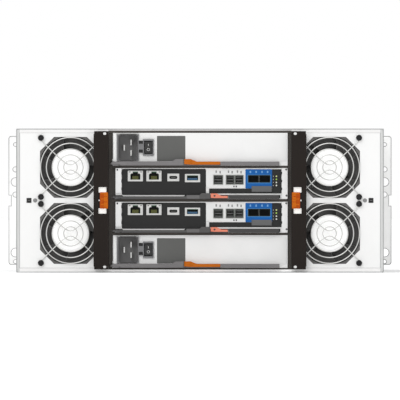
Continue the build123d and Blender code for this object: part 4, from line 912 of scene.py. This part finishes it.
# the controller canisters: panels are ((left, right), (low, high)), the heights counted from the canister's base
controllerPlan = SimpleNamespace(
    face=1.5, proud=0.35, seat=0.04, lip=0.08, corner=0.4, portCorner=0.5, blackPanel=((-94.6, 7.2), (4.9, 36.6)),
    blackCorner=1.6, lowerSeal=((-18.2, 7.2), (3.1, 5.0)), portPanel=((7.4, 54.2), (13.4, 37.2)),
    portSide=((7.4, 10.8), (7.2, 13.8)), textStrip=((11.1, 98.6), (6.8, 12.8)), lowerStrip=((12.9, 98.6), (4.9, 6.4)),
    lampPanel=((87.2, 98.6), (6.8, 36.1)), holeGrow=-0.05, sealSetback=0.1, stripProud=0.05, markProud=0.12,
    thin=0.05, moduleProud=0.25, moduleLip=0.1, rimY=(-0.5, -0.1), rimCorner=0.7, boxY=(-1.2, -0.2), boxEdge=0.3,
    blockProud=0.45, blockEdge=0.2, hostY=(-0.3, 0.1), hostEdge=0.25, columnY=(-0.5, 0.1), columnEdge=0.3,
    module=((55.0, 87.2), (12.9, 36.1)), moduleCorner=0.8, moduleBox=((62.4, 86.8), (8.7, 15.8)),
    moduleMarks=(61.0, 68.0, 75.1, 81.9), markHalf=(0.9, 1.3), rim=((57.3, 85.9), (19.1, 29.6)),
    hostLamps=(19.6, 24.4, 34.5, 38.9, 45.3, 49.7), hostHalf=(0.8, 1.5), hostStep=0.3, lampRise=32.9,
    darkLamps=(41.1, 43.9), darkRise=15.3, darkHalf=(0.8, 0.9), column=92.5,
    columnRise=((27.6, 3), (23.9, 1), (20.1, 2), (16.5, 2)), columnRadius=0.95, columnSegments=20, tickX=(-4.0, -3.5),
    tickHalf=0.5, railX=(34.3, 96.0), railReach=7.0, railHigh=4.6, seatX=(-95.6, 96.0), seatHigh=3.3,
    footX=(-103.4, -96.8), cornerFill=((-102.1, -94.3), (3.3, 5.1)), edgeShadeX=(-103.3, -102.2), edgeShadeStart=7.4,
    gripX=(-16.0, -0.7), gripRise=(0.35, 4.6), gripY=(-0.3, 0.1), gripEdge=0.25,
)
socketPlan = SimpleNamespace(
    front=(-0.3, 0.9), bodyStart=0.85, bodyInset=0.3, end=0.5, corner=0.4, lip=0.12,
    network=((-87.4, -69.1), (-64.9, -46.6)), networkRise=(21.5, 34.3), networkDepth=9.0,
    plugSteps=((3.1, 0, 2.0), (3.1, 1, -4.6), (4.5, 1, -3.3), (6.0, 1, -3.3), (6.0, 1, -0.9)), contacts=8,
    contactPitch=0.95, contactHalf=0.3, contactY=(1.4, 9.0), contactRise=(2.0, 6.5), lampAway=6.9, lampHalf=1.2,
    lampY=(-0.4, 0.2), lampDrop=(-2.1, -0.7), console=((-39.5, -25.1), (21.6, 30.8)), consoleDepth=5.0,
    consoleWall=(2.4, 2.8), consoleCorner=1.6, consoleTongue=(4.2, 0.4), consoleY=(0.8, 5.2),
    usb=((-18.3, 0.2), (20.4, 30.4)), usbDepth=8.0, usbMouth=(2.5, 2.2, 1.7), usbCorner=0.4,
    usbTongue=(3.2, 3.9, 1.3), usbY=(0.6, 8.0), usbContacts=4, usbFirst=-3.6, usbPitch=2.4, usbContactY=(0.55, 7.5),
    usbContactRise=(0.7, 1.5), usbContactHalf=0.5, contactEdge=0.12, lampEdge=0.15, tongueEdge=0.1, usbEdge=0.2,
    cageLip=0.1, fingerEdge=0.2, cages=((16.1, 28.0), (31.3, 41.7), (42.0, 52.8)), cageRise=(17.6, 29.2), cageBands=3,
    expansion=((58.0, 71.2), (71.8, 85.2)), expansionRise=(19.9, 29.1), cageY=(-0.3, 0.8), cageWall=0.75,
    cageCorner=0.3, wellInset=0.8, wellY=(13.2, 14.0), fingerFirst=2.4, fingerPitch=3.4, fingerInset=1.4,
    fingerY=(1.5, 2.3), fingerStep=0.2, fingerHalf=0.55,
)
bracketPlan = SimpleNamespace(
    face=3.1, screws=((104.4, -1.6, 1), (104.7, 4.3, 0)), radius=1.2, height=0.6, windowX=(-101.0, -99.2),
    windowDrop=(-3.0, -0.8), windowY=(-0.1, 0.4), notchX=(-94.1, 98.7), notchRise=(12.5, 22.0, 31.5),
    notchHalf=(0.9, 1.6), notchY=(-0.05, 1.6), notchEdge=0.2, windowEdge=0.1,
)


def faceLoop(box, base, radius=0.0, grow=0.0):
    return roundedLoop(box[0], lift(base, box[1]), radius, grow=grow)


def makeControllerPanels(s, k, name):
    base, grow, lip = baseZ[name], s.holeGrow, s.lip
    face = rearY - s.face
    y = (face - s.proud, face + s.seat)
    markY = (y[0] - s.markProud, y[0] + sink)
    bm = newShape()
    loops = [faceLoop(s.blackPanel, base, s.blackCorner)]
    loops += [faceLoop((x, k.networkRise), base, grow=grow) for x in k.network]
    loops += [faceLoop(box, base, grow=grow) for box in (k.console, k.usb)]
    addPlate(bm, loops, y, lip)
    addPlate(bm, [faceLoop(s.lowerSeal, base)], (y[0] + s.sealSetback, y[1]))
    strip = faceLoop(s.textStrip, base, s.portCorner)
    addPlate(bm, [strip], (y[0] - s.stripProud, y[1]), lip, look=1)
    addPlate(bm, [faceLoop(s.lampPanel, base, s.corner)], y, lip)
    finishPiece(name + "_blackPanels", name, bm, ["portBlack", "cageBlack"])

    bm = newShape()
    cages = k.cages
    holes = [faceLoop((x, k.cageRise), base, grow=grow) for x in (cages[0], (cages[1][0], cages[2][1]))]
    addPlate(bm, [faceLoop(s.portPanel, base, s.portCorner)] + holes, y, lip)
    addPlate(bm, [faceLoop(s.portSide, base)], y, lip)
    addPlate(bm, [faceLoop(s.lowerStrip, base, s.corner)], y, lip)
    for x in s.darkLamps:
        addBox(bm, about(x, s.darkHalf[0]), markY, about(base + s.darkRise, s.darkHalf[1]), s.thin, 1,
               look=1)
    finishPiece(name + "_portPanel", name, bm, ["panelShade", "portBlack"])

    bm = newShape()
    ports = (k.expansion[0][0], k.expansion[1][1])
    hole = faceLoop((ports, k.expansionRise), base, grow=grow)
    addPlate(bm, [faceLoop(s.module, base, s.moduleCorner), hole], (y[0] - s.moduleProud, y[1]),
             s.moduleLip)
    addPlate(bm, [faceLoop(s.rim, base, s.rimCorner), hole], lift(y[0], s.rimY), lip, look=3)
    x, rise = s.moduleBox
    addBox(bm, x, lift(y[0], s.boxY), lift(base, rise), s.boxEdge, look=1)
    for x in s.moduleMarks:
        addBox(bm, about(x, s.markHalf[0]), (y[0] - s.blockProud, y[0]),
               about(base + s.lampRise, s.markHalf[1]), s.blockEdge, look=2)
    finishPiece(name + "_module", name, bm, ["modulePaint", "moduleGrey", "moduleMark", "moduleRim"])

    bm = newShape()
    for n, x in enumerate(s.hostLamps):  # the lamps' marks stand alternately high and low
        lampZ = base + s.lampRise + (-s.hostStep if n % 2 else s.hostStep)
        addBox(bm, about(x, s.hostHalf[0]), lift(y[0], s.hostY), about(lampZ, s.hostHalf[1]), s.hostEdge)
    for up, look in s.columnRise:
        lamp = rodShape(s.column, lift(y[0], s.columnY), base + up, s.columnRadius, s.columnSegments,
                        s.columnEdge)
        addShape(bm, paint(lamp, look))
        addBox(bm, lift(s.column, s.tickX), markY, about(base + up, s.tickHalf), s.thin, 1, look=2)
    finishPiece(name + "_lamps", name, bm, ["lampGrey", "lampGreen", "lampWhite", "lampAmber"])


def addSocket(bm, k, x, z, front, hole, depth):
    # a bezel with a shaped mouth, the dark tunnel behind it and the tunnel's end
    bezel = roundedLoop(x, z, k.corner)
    body = roundedLoop(x, z, grow=-k.bodyInset)
    addPlate(bm, [bezel, hole], lift(front, k.front), k.lip)
    addPlate(bm, [body, hole], (front + k.bodyStart, front + depth), look=1)
    addPlate(bm, [body], (front + depth, front + depth + k.end), look=1)


def makeSockets(k, name):
    base = baseZ[name]
    front = span(name + "_board")[0][1]
    bm = newShape()
    z = lift(base, k.networkRise)
    for x in k.network:
        right = [(x[1] - inset, z[way] + up) for inset, way, up in k.plugSteps]
        plug = right + [(x[0] + x[1] - px, pz) for px, pz in right[::-1]]
        addSocket(bm, k, x, z, front, plug, k.networkDepth)
        middle = (x[0] + x[1]) / 2
        for n in range(k.contacts):
            at = middle + k.contactPitch * (n - (k.contacts - 1) / 2)
            addBox(bm, about(at, k.contactHalf), lift(front, k.contactY), lift(z[0], k.contactRise),
                   k.contactEdge, 1, look=2)
        for at in about(middle, k.lampAway):
            addBox(bm, about(at, k.lampHalf), lift(front, k.lampY), lift(z[1], k.lampDrop), k.lampEdge,
                   1, look=3)

    x, z = k.console[0], lift(base, k.console[1])
    wide, tall = k.consoleWall
    mouth = roundedLoop((x[0] + wide, x[1] - wide), (z[0] + tall, z[1] - tall), k.consoleCorner)
    addSocket(bm, k, x, z, front, mouth, k.consoleDepth)
    inset, half = k.consoleTongue
    addBox(bm, (x[0] + inset, x[1] - inset), lift(front, k.consoleY), about((z[0] + z[1]) / 2, half),
           k.tongueEdge, 1, look=4)

    x, z = k.usb[0], lift(base, k.usb[1])
    wide, floor, roof = k.usbMouth
    mouth = roundedLoop((x[0] + wide, x[1] - wide), (z[0] + floor, z[1] - roof), k.usbCorner)
    addSocket(bm, k, x, z, front, mouth, k.usbDepth)
    inset, up, half = k.usbTongue
    addBox(bm, (x[0] + inset, x[1] - inset), lift(front, k.usbY), about(z[0] + up, half), k.usbEdge, 1,
           look=5)
    for n in range(k.usbContacts):
        at = (x[0] + x[1]) / 2 + k.usbFirst + k.usbPitch * n
        addBox(bm, about(at, k.usbContactHalf), lift(front, k.usbContactY),
               lift(z[0] + up, k.usbContactRise), k.tongueEdge, 1, look=1)
    looks = ["portMetal", "cageDark", "contactGold", "lampGrey", "tongueGreyAndLitWell", "usbBlue"]
    finishPiece(name + "_sockets", name, bm, looks)

    bm = newShape()
    for group, rise, bands, ring, well in ((k.cages, k.cageRise, k.cageBands, 0, 1),
                                           (k.expansion, k.expansionRise, 0, 3, 3)):
        z = lift(base, rise)
        for x in group:
            inner = roundedLoop(x, z, k.cageCorner, grow=-k.cageWall)
            addPlate(bm, [roundedLoop(x, z, k.cageCorner), inner], lift(front, k.cageY), k.cageLip,
                     look=ring)
            # the host cages' wells are a lighter grey, painted light against the deep shade in them; the expansion
            # wells stay black
            inset = k.wellInset
            addBox(bm, (x[0] + inset, x[1] - inset), lift(front, k.wellY), (z[0] + inset, z[1] - inset), look=well)
            for n in range(bands):  # sprung shielding fingers inside the mouth
                middle = z[0] + k.fingerFirst + n * k.fingerPitch
                addBox(bm, (x[0] + k.fingerInset, x[1] - k.fingerInset),
                       lift(front + n * k.fingerStep, k.fingerY), about(middle, k.fingerHalf),
                       k.fingerEdge, 1, look=2)
    finishPiece(name + "_cages", name, bm, ["cageMetal", "tongueGreyAndLitWell", "gripGrey", "cageBlack"])


def makeBrackets(s, name):
    base, high = baseZ[name], span(name + "_faceplate")[1][2]
    face = rearY - s.face
    bm = newShape()
    for x, up, fromTop in s.screws:
        head = screwShape(x, face, (high if fromTop else base) + up, s.radius, s.height, "cross")
        addShape(bm, paint(head, 2))
    addBox(bm, s.windowX, lift(face, s.windowY), lift(high, s.windowDrop), s.windowEdge, 1,
           look=1)
    for x in s.notchX:
        for up in s.notchRise:
            addBox(bm, about(x, s.notchHalf[0]), lift(face, s.notchY), about(base + up, s.notchHalf[1]),
                   s.notchEdge, 1, look=1)
    finishPiece(name + "_bracketParts", name, bm, ["panelPaint", "blackScrew", "gripGrey"])


def makeGrip(s, name):
    y = lift(rearY - s.railReach, s.gripY)
    bm = boxShape(s.gripX, y, lift(baseZ[name], s.gripRise), s.gripEdge)
    finishPiece(name + "_grip", name + "_lever", bm, ["gripGrey"])


for canister in ("controller_upper", "controller_lower"):
    makeControllerPanels(controllerPlan, socketPlan, canister)
    makeEdgeShade(controllerPlan, canister)
    makeSockets(socketPlan, canister)
    makeBrackets(bracketPlan, canister)
    makeRailCap(controllerPlan, canister, "railDark")
    makeLeverSeat(controllerPlan, canister, "leverDark")
    makeGrip(controllerPlan, canister)
print("controllers dressed")

# the drive drawers: moulded front, louvres, lever pocket, lamps, levers and the drives' lids
frontPlan = SimpleNamespace(
    count=5, proud=0.5, edge=1.4, corner=1.2, lip=0.15, pocket=(116.0, 8.0), pocketCorner=1.0, slots=5,
    firstSlot=131.0, slotPitch=18.0, slotHalf=(5.5, 10.5), ridgeX=(118.5, 123.0), ridgeProud=1.1, ridgeEdge=0.4,
    louvres=6, louvreThick=0.6, louvreHalf=1.0, louvreTilt=-32, stemHalf=0.45, stemY=(-1.9, -0.3), liner=0.25,
    pocketDepth=7.0, lampX=-214.2, lampUp=5.0, lampRadius=1.3, lampSegments=20, lampY=(-0.5, 0.1), lampEdge=0.3,
)


def makeDrawerFront(s, number):
    body = f"drawer_{number}"
    low, high = span(body + "_tray")
    face, middle = high[1], (low[2] + high[2]) / 2
    (pocketX, pocketZ), (slotX, slotZ) = s.pocket, s.slotHalf
    slotMiddles = [way * (s.firstSlot + n * s.slotPitch) for way in (-1, 1) for n in range(s.slots)]
    bm = newShape()
    loops = [roundedLoop((low[0], high[0]), (low[2], high[2]), s.corner, grow=-s.edge),
             roundedLoop(about(0, pocketX), about(middle, pocketZ), s.pocketCorner)]
    loops += [roundedLoop(about(x, slotX), about(middle, slotZ), s.corner) for x in slotMiddles]
    addPlate(bm, loops, (face - sink, face + s.proud), s.lip)
    for way in (-1, 1):
        x = sorted(way * v for v in s.ridgeX)
        addBox(bm, x, (face, face + s.ridgeProud), about(middle, slotZ), s.ridgeEdge)
    finishPiece(body + "_fascia", body, bm, ["frontPlastic"])

    bm = newShape()
    pitch, half = 2 * slotZ / s.louvres, s.louvreHalf
    for x in slotMiddles:
        for n in range(s.louvres):
            z = middle - slotZ + (n + 0.5) * pitch
            place = Matrix.Translation((x, face - half, z)) @ Matrix.Rotation(radians(s.louvreTilt), 4, "X")
            addBox(bm, about(0, slotX), about(0, half), about(0, s.louvreThick / 2), place=place)
        addBox(bm, about(x, s.stemHalf), lift(face, s.stemY), about(middle, slotZ))
    finishPiece(body + "_louvres", body, bm, ["meshSteel"])

    bm = newShape()
    liner, floorY = s.liner, face - s.pocketDepth
    addBox(bm, about(0, pocketX), (floorY, floorY + liner), about(middle, pocketZ))
    for way in (-1, 1):
        z = sorted((middle + way * pocketZ, middle + way * (pocketZ - liner)))
        addBox(bm, about(0, pocketX), (floorY, face), z)
        x = sorted((way * pocketX, way * (pocketX - liner)))
        addBox(bm, x, (floorY, face), about(middle, pocketZ))
    finishPiece(body + "_pocket", body, bm, ["pocketBlack"])

    bm = newShape()
    for look, way in enumerate((1, -1)):
        lamp = rodShape(0, s.lampY, 0, s.lampRadius, s.lampSegments, s.lampEdge)
        place = Matrix.Translation((s.lampX, face + s.proud, middle + way * s.lampUp))
        addShape(bm, paint(lamp, look), place @ Matrix.Rotation(pi, 4, "Z"))
    finishPiece(body + "_frontLamps", body, bm, ["lampGreen", "lampGrey"])


frontLeverPlan = SimpleNamespace(
    tip=-12.0, tipCut=1.5, half=3.6, endX=0.8, endY=0.5, thick=14.8, lip=0.8, gripBack=0.5, gripTop=20.0,
    gripFoot=34.0, bore=2.0, ribs=6, ribSpan=17.0, ribStart=2.2, ribHalf=0.7, ribInset=1.2, ribSeat=0.3, ribEdge=0.25,
    grooveX=(-96.0, -44.0), grooveY=(-0.1, 0.25), grooveHalf=1.5, grooveEdge=0.2,
)


def makeFrontLever(s, number, side):
    name = f"drawer_{number}_lever_{side}"
    x0, axisY, _ = jointAt[f"drawer_{number}_lever_left_hinge"]
    middle = sum(v[2] for v in span(name)) / 2
    gripY = span(name)[1][1]
    faceY = gripY - s.gripBack
    half, tip, cut = s.half, s.tip, s.tipCut
    endX = x0 - half * s.endX
    loop = [
        (x0, axisY - half), (tip, axisY - half), (tip, faceY - cut), (tip - cut, faceY),
        (tip - s.gripTop, faceY), (tip - s.gripFoot, axisY + half), (x0, axisY + half),
        (endX, axisY + half * s.endY), (endX, axisY - half * s.endY),
    ]
    bm = newShape()
    lever = curveShape([loop, circleLoop(x0, axisY, s.bore)], fill=True, thick=s.thick, lip=s.lip)
    addShape(bm, lever, Matrix.Translation((0, 0, middle)))
    for n in range(s.ribs):  # finger ribs on the grip
        x = tip - s.ribStart - (n + 0.5) * s.ribSpan / s.ribs
        addBox(bm, about(x, s.ribHalf), (faceY - s.ribSeat, gripY),
               about(middle, s.thick / 2 - s.ribInset), s.ribEdge, look=1)
    addBox(bm, s.grooveX, lift(axisY + half, s.grooveY), about(middle, s.grooveHalf), s.grooveEdge, look=1)
    finishPiece(name + "_shape", name, bm, ["frontLever", "gripGrey"], side=side, replaces=[name])


drivePlan = SimpleNamespace(
    columns=4, rows=3, pitchX=104.2, pitchY=166.0, half=50.8, long=147.0, labelHalf=38.0, labelFrom=38.0,
    labelLong=88.0, labelProud=0.12, lidInset=7, lidEnds=(4, 14), lidProud=0.06, lidEdge=0.05, barHalf=44.0,
    barY=(-5.2, -0.6), barRise=(-7.5, -3.1), barEdge=0.8, screwX=46.3, screwEnds=(9.0, 16.0), screwHalf=1.5,
    screwRise=(-0.2, 0.25), screwEdge=0.5,
)


def makeDriveTops(s, number):
    body = f"drawer_{number}"
    high = span(body + "_drives")[1]
    top = high[2]
    bm = newShape()
    for row in range(s.rows):
        near = high[1] - row * s.pitchY  # the end towards the drawer's front
        far = near - s.long
        labelEnd = near - s.labelFrom
        for column in range(s.columns):
            x = (column - (s.columns - 1) / 2) * s.pitchX
            addBox(bm, about(x, s.labelHalf), (labelEnd - s.labelLong, labelEnd),
                   (top - sink, top + s.labelProud))
            addBox(bm, about(x, s.half - s.lidInset), (far + s.lidEnds[0], near - s.lidEnds[1]),
                   (top - sink, top + s.lidProud), s.lidEdge, 1, look=1)
            addBox(bm, about(x, s.barHalf), lift(near, s.barY), lift(top, s.barRise), s.barEdge, look=2)
            for screwX in about(x, s.screwX):
                for y in (far + s.screwEnds[0], near - s.screwEnds[1]):
                    addBox(bm, about(0, s.screwHalf), about(0, s.screwHalf), s.screwRise, s.screwEdge, 1,
                           look=3, place=Matrix.Translation((screwX, y, top)))
    finishPiece(body + "_driveTops", body, bm, ["driveSticker", "cutEdge", "frontPlastic", "steelScrew"])


for drawerNumber in range(1, frontPlan.count + 1):
    makeDrawerFront(frontPlan, drawerNumber)
    makeDriveTops(drivePlan, drawerNumber)
    for leverSide in sides:
        makeFrontLever(frontLeverPlan, drawerNumber, leverSide)
print("drawers dressed")
